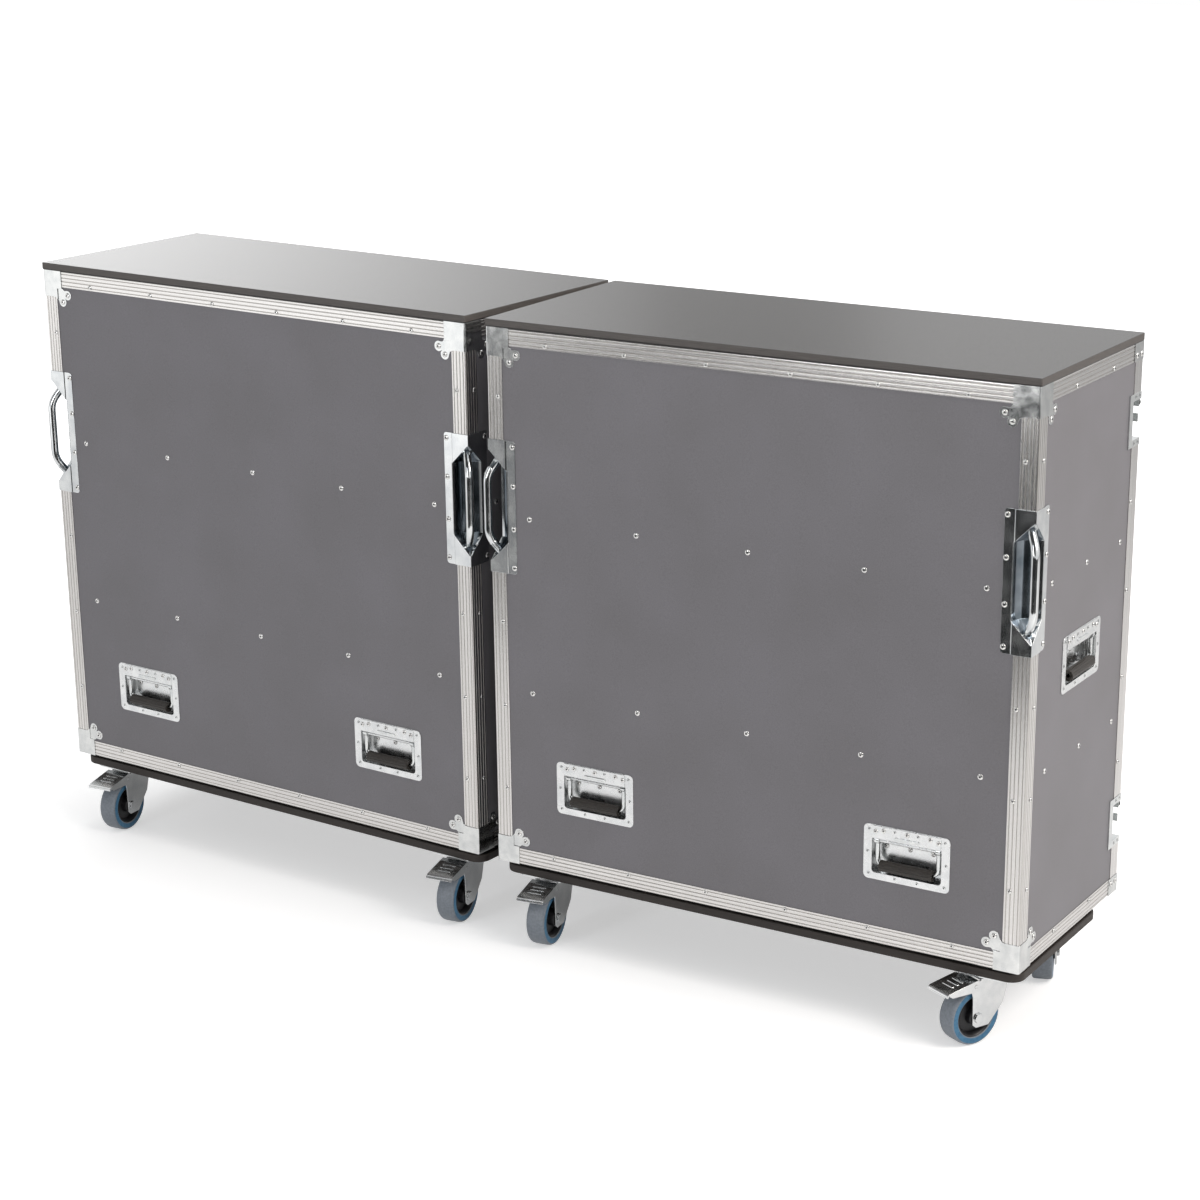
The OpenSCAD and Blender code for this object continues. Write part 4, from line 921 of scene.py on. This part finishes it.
# %% World
world = bpy.data.worlds.new("studio")
scene.world = world
world.use_nodes = True
tree = world.node_tree
tree.nodes.clear()
ray = add(tree, "ShaderNodeLightPath").outputs
mirror = add(tree, "ShaderNodeMath", {0: ray["Is Glossy Ray"], 1: ray["Is Transmission Ray"]}, operation="MAXIMUM")
seen = add(tree, "ShaderNodeMath", {0: ray["Is Camera Ray"], 1: mirror.outputs[0]}, operation="MAXIMUM")
lighting = add(tree, "ShaderNodeBackground", {"Color": tint("#ffffff"), "Strength": 0.45})
backdrop = add(tree, "ShaderNodeBackground", {"Color": tint("#ffffff"), "Strength": 1.0})
both = add(tree, "ShaderNodeMixShader", {0: seen.outputs[0], 1: lighting.outputs[0], 2: backdrop.outputs[0]})
add(tree, "ShaderNodeOutputWorld", {"Surface": both.outputs[0]})
print("world made")

# %% [markdown]
# The floor is white paper. It takes the shadow near the case, and further out it glows to the camera so that it
# runs into the white background without an edge. Mirrors see another glow, band by band from the front to the
# back, because bright metal looks like what it mirrors: this sets how light the upright sheets are at each height.

# %% Floor
bpy.ops.object.select_all(action="DESELECT")
bpy.ops.mesh.primitive_plane_add(size=40, location=(0, 0, -0.0005))
floor = bpy.context.object
floor.name = "floor"
paper, tree, shader, place = new_finish("white_paper", Roughness=0.9, Specular_IOR_Level=0.1)
shader.inputs["Base Color"].default_value = tint("#e6e6e6")
ray = add(tree, "ShaderNodeLightPath").outputs
mirror = add(tree, "ShaderNodeMath", {0: ray["Is Glossy Ray"], 1: ray["Is Transmission Ray"]}, operation="MAXIMUM")
y = add(tree, "ShaderNodeSeparateXYZ", {"Vector": place}).outputs["Y"]
depth = add(tree, "ShaderNodeMapRange", {"Value": y, "From Min": -4.0, "From Max": 0.0}).outputs["Result"]
sheen = add(tree, "ShaderNodeValToRGB", {"Fac": depth},
            ((0.0, 1.2), (0.42, 0.4), (0.78, 0.25), (0.86, 0.42), (0.94, 0.42), (1.0, 0.08))).outputs["Color"]
mirror = add(tree, "ShaderNodeMath", {0: mirror.outputs[0], 1: sheen}, operation="MULTIPLY")
far = add(tree, "ShaderNodeVectorMath", {0: place}, operation="LENGTH").outputs["Value"]
rise = add(tree, "ShaderNodeMapRange", {"Value": far, "From Min": 0.9, "From Max": 2.6, "To Min": 0.47,
                                        "To Max": 1.0})
glow = add(tree, "ShaderNodeMath", {0: rise.outputs["Result"], 1: ray["Is Camera Ray"]}, operation="MULTIPLY")
total = add(tree, "ShaderNodeMath", {0: glow.outputs[0], 1: mirror.outputs[0]}, operation="ADD")
light = add(tree, "ShaderNodeEmission", {"Color": (1, 1, 1, 1), "Strength": total.outputs[0]})
surface = add(tree, "ShaderNodeAddShader", {0: shader.outputs[0], 1: light.outputs[0]})
tree.links.new(surface.outputs[0], tree.nodes["Material Output"].inputs["Surface"])
floor.data.materials.append(paper)
print("floor made")

# %% [markdown]
# Three soft boxes light the case, as in a studio. The key light stands high to the right, so that the side is
# lighter than the fronts; a large one overhead gives the soft shadow; a tall strip in front lifts the fronts. Area
# lamps are used, because their size sets how soft the shadows are.

# %% Soft boxes
def soft_box(name, place, aim, width, height, power, colour):
    lamp = bpy.data.lights.new(name, "AREA")
    lamp.color = tint(colour)[:3]
    lamp.shape, lamp.size, lamp.size_y, lamp.energy = "RECTANGLE", width, height, power
    box = bpy.data.objects.new(name, lamp)
    scene.collection.objects.link(box)
    look = Vector(aim) - Vector(place)
    box.matrix_world = Matrix.Translation(place) @ look.to_track_quat("-Z", "Y").to_matrix().to_4x4()
    box.visible_camera = False
    return box

soft_box("key_right", (4.2, -0.3, 3.6), (0.3, 0, 0.5), 2.4, 2.4, 150, "#fff9f4")
soft_box("overhead", (0.3, 0.8, 4.2), (0, 0, 0.5), 4.0, 3.0, 90, "#ffffff")
soft_box("front_strip", (-0.95, -5.2, 1.9), (-0.3, 0, 0.6), 0.9, 3.0, 45, "#f6f9ff")
print("lights made")

# %% [markdown]
# Metal and polished boards show what stands round them, so a photographer sets up cards that only reflections
# show. Here these are glowing planes hidden from the camera, from soft light and from shadows. Dark ones low in
# front and to the right give the corner handles and braces their dark halves, those high in front give the upper
# edges their grey, and a bright one behind to the left lays the sheen over the counter, with a grey one beside it.

# %% Reflector cards
def card(name, place, aim, width, height, strength, fade=None):
    """A card that only mirrors show. fade, if given, holds two x places and the strength at the second."""
    look = Vector(aim) - Vector(place)
    bpy.ops.object.select_all(action="DESELECT")
    bpy.ops.mesh.primitive_plane_add(size=1)
    sheet = bpy.context.object
    sheet.name = name
    sheet.data.transform(Matrix.Translation(place) @ look.to_track_quat("-Z", "Y").to_matrix().to_4x4()
                         @ Matrix.Diagonal((width, height, 1, 1)))
    finish = bpy.data.materials.new(name + "_face")
    finish.use_nodes = True
    tree = finish.node_tree
    glow = add(tree, "ShaderNodeEmission", {"Color": (1, 1, 1, 1), "Strength": strength})
    if fade:
        place = add(tree, "ShaderNodeTexCoord").outputs["Object"]
        x = add(tree, "ShaderNodeSeparateXYZ", {"Vector": place}).outputs["X"]
        near, far, far_strength = fade
        spread = add(tree, "ShaderNodeMapRange", {"Value": x, "From Min": near, "From Max": far, "To Min": strength,
                                                  "To Max": far_strength})
        tree.links.new(spread.outputs["Result"], glow.inputs["Strength"])
    tree.links.new(glow.outputs[0], tree.nodes["Material Output"].inputs["Surface"])
    sheet.data.materials.append(finish)
    sheet.visible_camera = sheet.visible_diffuse = sheet.visible_shadow = False
    return sheet

card("low_dark_card", (0.55, -1.85, 0.4), (0.55, 0, 0.4), 3.5, 0.8, 0.03, (-0.6, -0.95, 0.35))
card("low_bright_card", (-0.32, -3.4, 1.25), (0.9, -0.2, 1.0), 0.9, 1.5, 4.5)
card("right_dark_card", (2.5, -1.1, 0.35), (1.0, -0.3, 0.35), 1.6, 0.7, 0.08)
card("high_dark_card", (-0.5, -6.6, 3.6), (0.0, 0, 1.0), 12.0, 4.6, 0.05)
card("ceiling_card", (-0.5, -4.2, 5.8), (0, 0, 0.8), 9.0, 3.0, 0.05)
card("bright_card", (-4.9, 4.3, 2.3), (-0.3, 0, 1.1), 4.0, 2.2, 1.0, (-3.7, -5.1, 3.0))
card("grey_card", (-2.8, 5.45, 2.85), (0.4, 0, 1.1), 0.9, 1.2, 0.25)
print("cards made")
